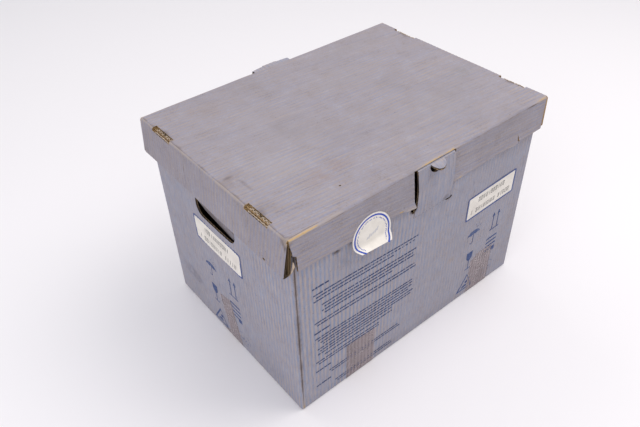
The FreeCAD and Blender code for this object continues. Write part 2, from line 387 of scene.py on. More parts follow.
class Graph:
    """Short calls for the node arithmetic that the materials share."""

    def __init__(self, nodes, links):
        self.nodes, self.links = nodes, links
        self.where = nodes.new("ShaderNodeTexCoord").outputs["Object"]

    def feed(self, socket, value):
        if hasattr(value, "is_linked"):
            self.links.new(value, socket)
        else:
            socket.default_value = value

    def math(self, kind, a, b=0.0, clamp=False):
        node = self.nodes.new("ShaderNodeMath")
        node.operation = kind
        node.use_clamp = clamp
        self.feed(node.inputs[0], a)
        self.feed(node.inputs[1], b)
        return node.outputs[0]

    def span(self, value, low, high, to_low=0.0, to_high=1.0):
        node = self.nodes.new("ShaderNodeMapRange")
        node.interpolation_type = "SMOOTHSTEP"
        self.feed(node.inputs["Value"], value)
        ends = {"From Min": low, "From Max": high, "To Min": to_low, "To Max": to_high}
        for key, number in ends.items():
            node.inputs[key].default_value = number
        return node.outputs["Result"]

    def mix(self, amount, a, b, blend="MIX"):
        node = self.nodes.new("ShaderNodeMix")
        node.data_type = "RGBA"
        node.blend_type = blend
        self.feed(node.inputs["Factor"], amount)
        self.feed(node.inputs[6], a)
        self.feed(node.inputs[7], b)
        return node.outputs[2]

    def noise(self, scale, detail=3.0, stretch=None, rough=0.55):
        node = self.nodes.new("ShaderNodeTexNoise")
        node.inputs["Scale"].default_value = scale
        node.inputs["Detail"].default_value = detail
        node.inputs["Roughness"].default_value = rough
        vector = self.where
        if stretch:
            moved = self.nodes.new("ShaderNodeMapping")
            moved.inputs["Scale"].default_value = stretch
            self.links.new(vector, moved.inputs["Vector"])
            vector = moved.outputs["Vector"]
        self.links.new(vector, node.inputs["Vector"])
        return node.outputs["Fac"]

    def streaks(self, fine, slow, detail=3.0):
        """Noise that changes quickly across the flutes and slowly along them."""
        across = self.nodes.new("ShaderNodeCombineXYZ")
        self.links.new(self.math("MULTIPLY", self.attribute("flute"), fine), across.inputs[0])
        along = self.nodes.new("ShaderNodeVectorMath")
        along.operation = "SCALE"
        self.links.new(self.where, along.inputs[0])
        along.inputs["Scale"].default_value = slow
        total = self.nodes.new("ShaderNodeVectorMath")
        total.operation = "ADD"
        self.links.new(across.outputs[0], total.inputs[0])
        self.links.new(along.outputs[0], total.inputs[1])
        node = self.nodes.new("ShaderNodeTexNoise")
        node.inputs["Scale"].default_value = 1.0
        node.inputs["Detail"].default_value = detail
        self.links.new(total.outputs[0], node.inputs["Vector"])
        return node.outputs["Fac"]

    def attribute(self, name):
        node = self.nodes.new("ShaderNodeAttribute")
        node.attribute_name = name
        return node.outputs["Fac"]

    def near(self, centre, reach):
        """1 at a place in millimetres, falling to 0 at reach along each axis."""
        moved = self.nodes.new("ShaderNodeMapping")
        moved.vector_type = "TEXTURE"
        moved.inputs["Location"].default_value = [c * MM for c in centre]
        moved.inputs["Scale"].default_value = [r * MM for r in reach]
        self.links.new(self.where, moved.inputs["Vector"])
        length = self.nodes.new("ShaderNodeVectorMath")
        length.operation = "LENGTH"
        self.links.new(moved.outputs["Vector"], length.inputs[0])
        return self.span(length.outputs["Value"], 1.0, 0.0)

    def bump(self, height, distance, strength=1.0):
        node = self.nodes.new("ShaderNodeBump")
        node.inputs["Strength"].default_value = strength
        node.inputs["Distance"].default_value = distance
        self.links.new(height, node.inputs["Height"])
        return node.outputs["Normal"]


KRAFT = (0.44, 0.29, 0.15, 1)
KRAFT_LIGHT = (0.62, 0.44, 0.24, 1)
KRAFT_DARK = (0.16, 0.10, 0.06, 1)


def printed_board(name, cool, warm, stripe, stains_and_shade, dust, wobbly, strong=None):
    """Grey-blue printed liner: ink carried by the flute crests, paper mottle, scuffs, wear."""
    material, nodes, links, shader = new_material(name)
    g = Graph(nodes, links)
    wobble = g.math("MULTIPLY", g.streaks(0.35, 22.0), wobbly)
    turn = g.math("MULTIPLY", g.attribute("flute"), 2 * math.pi)
    wave = g.math("SINE", g.math("ADD", turn, wobble))
    patches = g.span(g.noise(9.0, 2.0), 0.35, 0.68, 0.25, 1.0)
    if strong:
        patches = g.math("MULTIPLY", patches, g.span(g.near(*strong), 0.0, 0.5, 0.35, 1.25))
    wave = g.math("MULTIPLY", g.math("MULTIPLY", wave, patches), stripe)
    fibre = g.math("SUBTRACT", g.noise(480.0, 2.0, rough=0.7), 0.5)
    mottle = g.math("SUBTRACT", g.noise(38.0, 5.0, rough=0.7), 0.5)
    streak = g.math("SUBTRACT", g.streaks(3.4, 70.0), 0.5)
    tint = g.math("ADD", g.math("ADD", wave, g.math("MULTIPLY", mottle, 0.7)), 0.5)
    tint = g.math("ADD", tint, g.math("MULTIPLY", streak, 0.9))
    tint = g.math("ADD", tint, g.math("MULTIPLY", fibre, 1.3), clamp=True)
    colour = g.mix(tint, cool, warm)
    tone = g.math("ADD", g.math("MULTIPLY", mottle, 1.1), g.math("MULTIPLY", fibre, 1.2))
    tone = g.math("ADD", tone, g.math("MULTIPLY", streak, -0.8))
    colour = g.mix(g.span(tone, 0.02, 0.5, 0.0, 0.45), colour, (0.14, 0.13, 0.15, 1))
    colour = g.mix(g.span(tone, -0.02, -0.5, 0.0, 0.28), colour, (0.55, 0.53, 0.56, 1))
    dusty = g.span(g.noise(5.0, 4.0, rough=0.6), 0.45, 0.75, 0.0, dust)
    colour = g.mix(dusty, colour, (0.42, 0.39, 0.41, 1))
    grimy_and_shaded = g.span(g.noise(7.0, 5.0, rough=0.65), 0.50, 0.72, 0.0, dust)
    colour = g.mix(grimy_and_shaded, colour, (0.20, 0.175, 0.18, 1))
    # Each listed spot is mixed in: stains, and on the walls painted shade as well.
    for centre, reach, shade, strength in stains_and_shade:
        spread = g.math("MULTIPLY", g.near(centre, reach), g.span(g.noise(60.0, 4.0), 0.3, 0.62))
        colour = g.mix(g.math("MULTIPLY", spread, strength), colour, shade)
    # This darkening is partly grime and partly painted shade: under the lid's hem, in the front left joint
    # and on the hand flaps.
    grime_and_shade = g.math("ADD", g.attribute("dirt_and_shade"), g.math("MULTIPLY", mottle, 0.8))
    colour = g.mix(g.span(grime_and_shade, 0.25, 0.9, 0.0, 0.85), colour, (0.115, 0.085, 0.075, 1))
    speck = g.span(g.noise(330.0, 1.0), 0.715, 0.79, 0.0, 0.5)
    colour = g.mix(speck, colour, (0.13, 0.12, 0.13, 1))
    scuff = g.span(g.noise(26.0, 3.0, (1.0, 6.0, 6.0)), 0.68, 0.80, 0.0, 0.35)
    colour = g.mix(scuff, colour, (0.52, 0.49, 0.50, 1))
    edge = g.math("ADD", g.attribute("worn_and_lit"), g.math("MULTIPLY", mottle, 0.9))
    edge = g.math("ADD", edge, g.math("MULTIPLY", fibre, 0.35))
    pale = g.span(edge, 0.38, 0.72, 0.0, 0.6)
    colour = g.mix(pale, colour, (0.44, 0.37, 0.33, 1))
    bare = g.span(edge, 0.80, 0.95)
    colour = g.mix(bare, colour, g.mix(g.noise(210.0), KRAFT, KRAFT_LIGHT))
    links.new(colour, shader.inputs["Base Color"])
    links.new(g.span(mottle, -0.3, 0.3, 0.68, 0.86), shader.inputs["Roughness"])
    grain = g.math("ADD", g.math("MULTIPLY", fibre, 0.7), g.math("ADD", mottle, streak))
    links.new(g.bump(grain, 0.0005, 0.7), shader.inputs["Normal"])
    shader.inputs["Specular IOR Level"].default_value = 0.25
    return material


def kraft_board(name, base, light, dark, grimy_and_shaded=()):
    """Unprinted brown board: clouded, with fibres, and darkened round each given place as painted shade."""
    material, nodes, links, shader = new_material(name)
    g = Graph(nodes, links)
    fibre = g.noise(420.0, 3.0, (1.0, 1.0, 0.35))
    cloud = g.noise(24.0, 4.0)
    colour = g.mix(g.span(cloud, 0.3, 0.7), base, light)
    colour = g.mix(g.span(fibre, 0.52, 0.75, 0.0, 0.6), colour, dark)
    for centre, reach in grimy_and_shaded:
        grime_and_shade = g.span(g.near(centre, reach), 0.0, 0.5, 0.0, 0.85)
        colour = g.mix(grime_and_shade, colour, (0.035, 0.026, 0.022, 1))
    links.new(colour, shader.inputs["Base Color"])
    shader.inputs["Roughness"].default_value = 0.85
    shader.inputs["Specular IOR Level"].default_value = 0.2
    links.new(g.bump(fibre, 0.0003, 0.6), shader.inputs["Normal"])
    return material


def paper(name, base, shade, roughness=0.55):
    """Slightly cockled white paper."""
    material, nodes, links, shader = new_material(name)
    g = Graph(nodes, links)
    cloud = g.noise(55.0, 4.0)
    colour = g.mix(g.span(cloud, 0.35, 0.75), base, shade)
    links.new(colour, shader.inputs["Base Color"])
    links.new(g.span(cloud, 0.3, 0.7, roughness - 0.06, roughness + 0.1), shader.inputs["Roughness"])
    links.new(g.bump(g.noise(160.0), 0.0003, 0.35), shader.inputs["Normal"])
    return material


def ink(name, base, worn_to, fade, scale=520.0):
    """Ink that has partly missed the hollows between the flutes."""
    material, nodes, links, shader = new_material(name)
    g = Graph(nodes, links)
    gap = g.noise(scale, 2.0)
    loss = g.span(gap, 0.5, 0.68, 0.0, fade)
    loss = g.math("ADD", loss, g.span(g.noise(18.0, 3.0), 0.45, 0.75, 0.0, 0.3), clamp=True)
    colour = g.mix(loss, base, worn_to)
    links.new(colour, shader.inputs["Base Color"])
    shader.inputs["Roughness"].default_value = 0.7
    shader.inputs["Specular IOR Level"].default_value = 0.25
    links.new(g.bump(gap, 0.0002, 0.3), shader.inputs["Normal"])
    return material


def tape_film():
    """Half-clear brownish film that shows the flutes it is pressed onto."""
    material, nodes, links, shader = new_material("packing_tape_film")
    g = Graph(nodes, links)
    wave = g.math("SINE", g.math("MULTIPLY", g.attribute("flute"), 2 * math.pi))
    cloud = g.noise(34.0, 4.0)
    tint = g.math("ADD", g.math("MULTIPLY", wave, 0.28), cloud, clamp=True)
    colour = g.mix(tint, (0.27, 0.215, 0.225, 1), (0.52, 0.43, 0.44, 1))
    links.new(colour, shader.inputs["Base Color"])
    links.new(g.span(g.noise(70.0, 3.0), 0.35, 0.7, 0.22, 0.5), shader.inputs["Roughness"])
    shader.inputs["Alpha"].default_value = 0.5
    shader.inputs["Specular IOR Level"].default_value = 0.45
    wrinkle = g.noise(90.0, 3.0, (1.0, 1.0, 0.25))
    links.new(g.bump(wrinkle, 0.0006, 0.6), shader.inputs["Normal"])
    return material


# Stains, and painted shade on the walls: middle, reach along each axis, colour and strength.
TOP_STAINS = (
    ((-110, -95, 315), (60, 26, 9), (0.30, 0.22, 0.20, 1), 0.42),
    ((-205, -37, 315), (30, 34, 9), (0.22, 0.18, 0.18, 1), 0.5),
    ((-197, -52, 315), (4, 22, 5), (0.16, 0.13, 0.13, 1), 0.7),
    ((-206, -29, 315), (9, 4, 5), (0.16, 0.13, 0.13, 1), 0.7),
    ((-223, 50, 293), (6, 1.6, 24), (0.17, 0.15, 0.16, 1), 0.9),
    ((188, -37, 315), (42, 24, 9), (0.24, 0.22, 0.22, 1), 0.45),
    ((-150, 115, 315), (60, 40, 9), (0.32, 0.26, 0.25, 1), 0.40),
    ((120, 130, 315), (90, 34, 9), (0.30, 0.27, 0.28, 1), 0.35),
    ((40, 60, 315), (80, 40, 9), (0.31, 0.28, 0.29, 1), 0.30),
    ((100, -80, 315), (120, 60, 9), (0.30, 0.28, 0.30, 1), 0.22),
    ((-224, 159, 268), (5, 6, 5), (0.03, 0.025, 0.02, 1), 0.9),
)
WALL_STAINS_AND_SHADE = (
    ((-213, 105, 62), (9, 46, 18), (0.15, 0.14, 0.17, 1), 0.6),
    # painted shadow: black under the bent hem left of the tongue
    ((-33, -160, 254), (9, 9, 7), (0.01, 0.01, 0.01, 1), 1.0),
    # painted shade: the black crack under the torn corner
    ((-217.5, -159, 299), (4, 6, 22), (0.015, 0.012, 0.012, 1), 1.0),
    # painted shadow at the front tongue's crease
    ((24, -164, 246), (9, 9, 7), (0.13, 0.12, 0.14, 1), 0.8),
    # painted shade in the split under the torn corner
    ((-212, -157, 283), (6, 9, 24), (0.02, 0.018, 0.016, 1), 0.95),
    ((-213, -90, 30), (9, 60, 40), (0.20, 0.19, 0.23, 1), 0.30),
    ((60, -157, 108), (18, 9, 12), (0.33, 0.25, 0.19, 1), 0.45),
    # painted shadow of the lid across the top of the front wall
    ((-115, -157, 236), (60, 14, 20), (0.17, 0.17, 0.20, 1), 0.45),
    # painted shadow under the sagging hem
    ((-150, -158, 256), (10, 14, 5), (0.03, 0.03, 0.04, 1), 0.95),
    # painted shade along the front left corner's joint
    ((-209, -156, 150), (6, 8, 150), (0.10, 0.09, 0.11, 1), 0.65),
    # painted shadow of the lid across the top of the front wall
    ((20, -160, 238), (70, 14, 14), (0.20, 0.20, 0.24, 1), 0.30),
    ((0, -155, 8), (240, 9, 14), (0.20, 0.19, 0.22, 1), 0.30),
)
lid_print = printed_board(
    "lid_print", (0.275, 0.272, 0.352, 1), (0.365, 0.304, 0.285, 1), 0.30, TOP_STAINS, 0.28, 3.0
)
wall_print = printed_board(
    "wall_print",
    (0.240, 0.280, 0.400, 1),
    (0.435, 0.365, 0.350, 1),
    0.36,
    WALL_STAINS_AND_SHADE,
    0.14,
    1.2,
    ((-150, -157, 120), (190, 140, 260)),
)
# The liner inside the lid's torn front left corner is painted dark as shade.
liner_kraft = kraft_board(
    "liner_kraft", KRAFT, KRAFT_LIGHT, (0.30, 0.19, 0.10, 1), (((-224, -146, 284), (9, 34, 60)),)
)
cut_edge = kraft_board(
    "cut_edge",
    (0.36, 0.22, 0.09, 1),
    (0.56, 0.38, 0.17, 1),
    KRAFT_DARK,
    # painted shade: the cut edges in the torn corner's split and inside the lock slots are darkened
    [((-218, -160, 284), (24, 18, 44))]
    + [((x, y, 312), (9, 28, 7)) for x in (-217, 217) for y in (-LOCK_TAB_Y, LOCK_TAB_Y)],
)
# Wall cut edges: dark kraft, darkened partly as painted shade of the slits and holes they line; the spot by
# the tongue's left slit is painted shade.
old_and_shaded_edge = kraft_board(
    "old_and_shaded_edge",
    (0.10, 0.078, 0.062, 1),
    (0.22, 0.16, 0.11, 1),
    (0.05, 0.04, 0.03, 1),
    (((-30, -160, 282), (7, 9, 40)),),
)
torn_edge = kraft_board("torn_edge", (0.46, 0.35, 0.25, 1), (0.70, 0.58, 0.46, 1), (0.12, 0.07, 0.05, 1))
label_paper = paper("label_paper", (0.82, 0.77, 0.70, 1), (0.72, 0.67, 0.61, 1))
seal_paper = paper("seal_paper", (0.84, 0.79, 0.72, 1), (0.74, 0.69, 0.62, 1), 0.42)
text_ink = ink("text_ink", (0.026, 0.048, 0.135, 1), (0.11, 0.14, 0.26, 1), 0.38)
navy_ink = ink("navy_ink", (0.045, 0.075, 0.200, 1), (0.20, 0.23, 0.34, 1), 0.6)
pale_ink = ink("pale_ink", (0.17, 0.19, 0.28, 1), (0.33, 0.33, 0.40, 1), 0.8)
border_ink = ink("border_ink", (0.07, 0.10, 0.26, 1), (0.20, 0.23, 0.38, 1), 0.35)
seal_ink = ink("seal_ink", (0.035, 0.075, 0.42, 1), (0.18, 0.25, 0.55, 1), 0.35)
stroke_ink = ink("stroke_ink", (0.09, 0.09, 0.095, 1), (0.32, 0.30, 0.28, 1), 0.4)
seal_faint = ink("seal_faint", (0.56, 0.56, 0.60, 1), (0.74, 0.70, 0.65, 1), 0.6)
tape_material = tape_film()
BOARD_MATERIALS = [wall_print, liner_kraft, old_and_shaded_edge]
LID_MATERIALS = [lid_print, liner_kraft, cut_edge]


# ---------------------------------------------------------------- the carton

SLIT_START = 3.5  # the front wall's free edge, right of the front left corner
SLIT_END = 3.0
perimeter = fold_path(
    [
        (-BODY_X + SLIT_START, -BODY_Y),
        (BODY_X, -BODY_Y),
        (BODY_X, BODY_Y),
        (-BODY_X, BODY_Y),
        (-BODY_X, -BODY_Y),
        (-BODY_X + SLIT_END, -BODY_Y),
    ],
    CORNER_RADIUS,
)
CORNER_LOSS = (2 - math.pi / 2) * CORNER_RADIUS
FRONT_LENGTH = 2 * BODY_X - SLIT_START


def front_u(x):
    return x + BODY_X - SLIT_START


def right_u(y):
    return FRONT_LENGTH + y + BODY_Y - CORNER_LOSS


def back_u(x):
    return FRONT_LENGTH + 2 * BODY_Y + BODY_X - x - 2 * CORNER_LOSS


def left_u(y):
    return FRONT_LENGTH + 2 * BODY_Y + 2 * BODY_X + BODY_Y - y - 3 * CORNER_LOSS


CORNERS_U = [
    FRONT_LENGTH - CORNER_LOSS / 2,
    FRONT_LENGTH + 2 * BODY_Y - 1.5 * CORNER_LOSS,
    FRONT_LENGTH + 2 * BODY_Y + 2 * BODY_X - 2.5 * CORNER_LOSS,
    perimeter.length - SLIT_END + CORNER_LOSS / 2,
]
BULGE_Z = [0, 60, 120, 200, 245, 262, 285, 305, 313]
BULGE_FRONT = [0, 3.0, 4.2, 4.8, 7.6, 7.0, 4.6, 2.6, 2.0]
BULGE_BACK = [0, 2.0, 3.0, 3.2, 3.6, 3.4, 2.6, 1.8, 1.4]


def front_bulge(x, z):
    """How far the front wall stands out, most at mid-length just under the lid."""
    return hump(x - 4, BODY_X - 8) * np.interp(z, BULGE_Z, BULGE_FRONT)


def back_bulge(x, z):
    return hump(x, BODY_X - 8) * np.interp(z, BULGE_Z, BULGE_BACK)


def end_bulge(y, z):
    return hump(y, BODY_Y - 6) * np.interp(z, [0, 100, 200, 250, 313], [0, 1.6, 1.6, 0.8, 0.0])


def place_wall(u, v, w):
    """Perimeter and height to a place. The lowest few millimetres turn under the carton."""
    x, y, nx, ny = perimeter(u)
    turn = np.clip((FOLD_RADIUS - v) / FOLD_RADIUS, 0, math.pi / 2)
    reach = FOLD_RADIUS + w
    under = np.where(v < FOLD_RADIUS, FOLD_RADIUS - reach * np.cos(turn), -w)
    z = np.where(v < FOLD_RADIUS, FOLD_RADIUS - reach * np.sin(turn), v)
    x, y = x - nx * under, y - ny * under
    front = (ny < -0.999) & (u < FRONT_LENGTH)
    back = ny > 0.999
    end = np.abs(nx) > 0.999
    y = y - np.where(front, front_bulge(x, z), 0) + np.where(back, back_bulge(x, z), 0)
    x = x + np.where(end, np.sign(x) * end_bulge(y, z), 0)
    uneven = 0.25 * ripple(u, v, 3, 90.0) * bump(v, 0, WALL_TOP)
    return np.stack([x + nx * uneven, y + ny * uneven, z], 1)


def wall_wear(u, v):
    """Bare kraft along the upright creases and the bottom edge."""
    from_crease = np.min([np.abs(u - c) for c in CORNERS_U[:3]], 0)
    from_joint = np.minimum(u, perimeter.length - u)
    slit = near(from_joint, 0, 5) * np.clip(1.3 - v / 25, 0, 1)
    side = np.maximum(near(from_crease, 0, 5) * 0.62, slit * 0.9)
    low = near(v, 1, 5) * 0.55
    return np.maximum(side, low) + 0.18 * ripple(u, v, 21, 40.0)


def wall_painted_shade(u, v):
    """Painted shade in the open joint at the front left corner and in the split under the torn corner, and
    painted shadow just under the lid's hem.
    """
    from_joint = np.minimum(u, perimeter.length - u)
    joint = near(from_joint, 0, 3.4) * np.clip(v / 30 - 0.3, 0, 1)
    torn = 1.3 * near(from_joint, 0, 5, 1.6) * np.clip((v - 283) / 5, 0, 1)
    # dark spots painted as the shadow under the bent and sagging hem
    spots = ((-34, 254.5, 6.5, 4.2), (-150.5, 255.5, 8, 1.8))
    under = [1.5 * oval(u, v, (front_u(x), z), (a, b)) for x, z, a, b in spots]
    hem = near(v, 262, 9) * 0.30
    return np.maximum.reduce([joint * 0.75, hem, torn] + under) + 0.10 * ripple(u, v, 27, 50.0)


def d_shape(middle, half, bottom, top, corner):
    """A hand hole's outline, anticlockwise, flat side up."""
    lower_right = polygon(middle + half - corner, bottom + corner, corner, corner, 270, 360, 6)
    lower_left = polygon(middle - half + corner, bottom + corner, corner, corner, 180, 270, 6)
    return lower_left + lower_right + [(middle + half, top), (middle - half, top)]


def carton_walls():
    """The four walls in one wrap, open for the tongues and the hand holes."""
    slit = TONGUE_HALF + 0.4
    front, back = front_u(TONGUE_X), back_u(-TONGUE_X)
    windows = [(c - slit, c + slit, CREASE_Z, WALL_TOP + 1) for c in (front, back)]
    cutters = [
        d_shape(left_u(HAND_Y), HAND_HALF, HAND_BOTTOM, HAND_TOP, HAND_CORNER),
        d_shape(right_u(-HAND_Y), HAND_HALF, HAND_BOTTOM, HAND_TOP, HAND_CORNER),
        # an oval gap at the front tongue's right foot, and a tear beside its left slit
        polygon(front + TONGUE_HALF - 3, CREASE_Z - 0.2, 6.5, 2.4, count=14),
        [(front_u(x), z) for x, z in ((-37.5, 257.0), (-33.6, 249.6), (-28.6, 251.5), (-28.6, 260.0))],
    ]
    under = FOLD_RADIUS * (1 - math.pi / 2)
    rows = [under, -0.5, 0.6, 1.7, FOLD_RADIUS, 5.5, CREASE_Z - 3, 250, 252, 254, 256, 258, 262, 283, 287]
    mesh = Mesh()
    board(
        mesh,
        [(0, perimeter.length, under, WALL_TOP)],
        place_wall,
        "v",
        windows,
        cutters,
        wall_wear,
        (CORNERS_U, rows),
        dirt_and_shade=wall_painted_shade,
    )
    nodes = ("front_wall", "back_wall", "left_end_wall", "right_end_wall")
    mesh.piece("carton_walls", BOARD_MATERIALS, "carton", "printed_board", *nodes)


def bottom_flaps():
    """The four bottom flaps, the long pair outermost, and the glue flap inside the corner."""
    inner_x, inner_y = BODY_X - FOLD_RADIUS - 0.3, BODY_Y - FOLD_RADIUS - 0.3
    lift = 0.35
    minor = corners_mm("left_bottom_flap")[1][0] + BODY_X
    low, high = corners_mm("glue_flap")

    def outer(u, v, w):
        return np.stack([u, v, lift - w], 1)

    def inner(u, v, w):
        return np.stack([u, v, lift + BOARD + 0.15 - w], 1)

    def glued(u, v, w):
        return np.stack([u, -BODY_Y + BOARD + 0.1 - w - front_bulge(u, v), v], 1)

    def flap(node, rect, place, flutes, slot):
        mesh = Mesh()
        board(mesh, [rect], place, flutes, across=4)
        mesh.piece(node + "_board", BOARD_MATERIALS, "carton", slot, node)

    for name, y0, y1 in (("front", -inner_y, -0.2), ("back", 0.2, inner_y)):
        flap(name + "_bottom_flap", (-inner_x, inner_x, y0, y1), outer, "v", "printed_board")
    left_end, right_end = -BODY_X + BOARD + 0.2, BODY_X - BOARD - 0.2
    for name, x0, x1 in (("left", left_end, minor - BODY_X), ("right", BODY_X - minor, right_end)):
        rect = (x0, x1, -inner_y + 0.8, inner_y - 0.8)
        flap(name + "_bottom_flap", rect, inner, "u", "kraft_board")
    flap("glue_flap", (low[0] + 0.4, high[0], low[2] + 1, high[2]), glued, "v", "kraft_board")


# ---------------------------------------------------------------- the lid

END_START = LID_X - FOLD_RADIUS  # where the end creases begin to turn down
SIDE_START = LID_Y - FOLD_RADIUS
ARC = FOLD_RADIUS * math.pi / 2
LAP = 6.4  # thickness of a folded end: two boards and the crushed dust flap
end_fold = fold_path(
    [
        (-4, 0),
        (FOLD_RADIUS, 0),
        (FOLD_RADIUS, SKIRT_DROP),
        (FOLD_RADIUS - LAP, SKIRT_DROP),
        (FOLD_RADIUS - LAP, 0.5),
    ],
    FOLD_RADIUS,
)
side_fold = fold_path([(-4, 0), (FOLD_RADIUS, 0), (FOLD_RADIUS, SKIRT_DROP)], FOLD_RADIUS)
SIDE_END = SIDE_START + side_fold.length - 4
INNER_START = END_START + ARC + (SKIRT_DROP - 2 * FOLD_RADIUS) + ARC
TAB_END = END_START + end_fold.length - 4
INNER_END = TAB_END - 3.0
FLARE_Y = [-161, -60, 60, 161]


def end_flare(side, y):
    """How far a lid end's lower edge stands out: the left end opens towards the front."""
    left = np.interp(y, FLARE_Y, [8.6, 6.6, 4.6, 3.8])
    right = np.interp(y, FLARE_Y, [2.4, 1.6, 1.2, 1.0])
    return np.where(side < 0, left, right)


def end_droop(side, y):
    """How far the left end's hem hangs down: most from the middle to the back."""
    return np.where(side < 0, np.interp(y, [-161, -100, 0, 161], [0.5, 2.0, 3.5, 3.5]), 0)


def side_flare(side, x):
    """The long skirts are pushed out beside the tongues and held at the outer corners."""
    stops = [-220, -150, -60, -33, 37, 80, 160, 220]
    front = np.interp(x, stops, [0.6, 1.6, 4.4, 5.2, 3.2, 3.0, 1.8, 1.0])
    back = np.interp(x, [-220, -60, 60, 220], [0.8, 2.6, 2.6, 0.8])
    return np.where(side < 0, front, back)


def place_lid(u, v, w):
    """The lid's flat blank to its folded place: ends roll over, long skirts hang."""
    ends = np.abs(u) > END_START
    sides = (np.abs(v) > SIDE_START) & ~ends
    su = np.clip(np.abs(u) - END_START + 4, 0, None)
    sv = np.clip(np.abs(v) - SIDE_START + 4, 0, None)
    eo, ed, eno, end_ = end_fold(su)
    so, sd, sno, snd = side_fold(sv)
    side_u, side_v = np.sign(u), np.sign(v)
    hang = SKIRT_DROP - FOLD_RADIUS
    tilt_u = end_flare(side_u, v) * np.clip(ed - FOLD_RADIUS, 0, None) / hang
    tilt_v = side_flare(side_v, u) * np.clip(sd - FOLD_RADIUS, 0, None) / hang
    tilt_u = tilt_u * np.interp(np.abs(u), [INNER_START - 1.5, INNER_START + 4], [1.0, 0.4])
    x = np.where(ends, side_u * (END_START + eo + eno * w + tilt_u), u)
    y = np.where(sides, side_v * (SIDE_START + so + sno * w + tilt_v), v)
    z = LID_TOP + w
    droop = end_droop(side_u, v) * np.clip(ed / SKIRT_DROP, 0, 1) ** 2
    z = np.where(ends, LID_TOP - (ed + end_ * w) - droop, z)
    z = np.where(sides, LID_TOP - (sd + snd * w), z)
    flat = ~(ends | sides)
    # the front hem is bent outward beside the tongue, and again where it has split
    for middle, width, depth, out in ((-38, 17, 9, 4.5), (158, 14, 8, 2.6)):
        bent = np.clip((sd - SKIRT_DROP + depth) / depth, 0, 1) ** 2 * near(u, middle, width)
        y = y - np.where(sides & (v < 0), out * bent, 0)
    sag = 1.3 * bump(u, -LID_X, LID_X) * bump(v, -LID_Y, LID_Y)
    z = z - np.where(flat, sag, 0) + 0.18 * ripple(u, v, 5, 110.0) * np.where(flat, 1, 0)
    wander = 0.35 * ripple(u, v, 9, 70.0) * np.where(flat, 0, 1)
    x = x + np.where(ends, side_u * wander, 0)
    y = y + np.where(sides, side_v * wander, 0)
    return np.stack([x, y, z], 1)


def lid_wear_and_highlight(u, v):
    """Bare kraft on the creases, most of it along the front crease by the open corner, with a painted
    highlight on the bent front hem.
    """
    far_u, far_v = np.abs(u), np.abs(v)
    at_end = near(far_u, END_START + ARC / 2, 4) * (far_v < LID_Y + 2)
    at_side = near(far_v, SIDE_START + ARC / 2, 4) * (far_u < LID_X + 2)
    worst = near(u, -205, 62, 1.25) * (v < 0)
    right = near(u, 208, 22, 1.2) * (v < 0)
    notch = (np.abs(u - TONGUE_X) < TONGUE_HALF + 1) * (v < 0) * 0.75
    wear_and_highlight = [
        at_end * 0.75,
        at_side * (0.45 + 0.75 * np.maximum.reduce([worst, right, notch])),
        near(far_v, SIDE_END, 2.2) * 0.42,  # the long skirts' hems
        near(far_u, INNER_START - ARC / 2, 3.5) * 0.45,  # the ends' rolled lower edges
        oval(far_u, far_v, (LID_X, LID_Y), (12, 12), 1.2) * 0.8,  # the corners
        near(far_v, LOCK_TAB_Y, 30) * near(far_u, 217, 7) * 0.9,  # round the lock slots
        oval(u, v, (45, 1 - SIDE_END), (9, 4), 1.3),  # a chip right of the tongue
        # painted highlight: the bent hem's lower edge is painted pale as if lit
        np.minimum(oval(u, v, (-42, -SIDE_END), (8, 2.2), 1.5), 0.72),  # the bent hem
        np.minimum(oval(u, v, (152, -SIDE_END), (14, 1.6), 1.5), 0.72),  # the split hem
    ]
    return np.maximum.reduce(wear_and_highlight) + 0.16 * ripple(u, v, 33, 30.0)


def lid_dirt(u, v):
    """Grime beside the left crease, round the lock slots and at the torn corner."""
    far_u, far_v = np.abs(u), np.abs(v)
    in_notch = np.abs(u - TONGUE_X) < TONGUE_HALF + 1
    dirt_and_shade = [
        near(v, 0.2 - LID_Y, 2.6) * in_notch * 0.62,
        near(v, 3.0 - LID_Y, 1.1) * near(u, -205, 55, 1.3),  # behind the front crease
        near(u, 2.4 - LID_X, 1.6) * 0.75,  # on top, beside the left crease
        near(u, -LID_X - 3.2, 1.6) * 0.40,  # just under the left crease
        near(v, -LID_Y - 1.6, 1.5) * (far_u < LID_X) * 0.55,  # just under the front crease
        near(far_v, LOCK_TAB_Y, 27, 1.1) * near(far_u, 216.5, 9) * 1.1,
        oval(u, v, (-222, -161), (16, 16), 1.1),  # the torn corner
        near(far_v, SIDE_END, 3.0) * 0.28,  # the long skirts' hems
        near(far_u, END_START + 48, 4) * 0.25,  # the ends' lower edges
        near(u, 190, 30) * near(v, -LID_Y - 1.5, 2.4),
    ]
    return np.maximum.reduce(dirt_and_shade) + 0.12 * ripple(u, v, 41, 26.0)


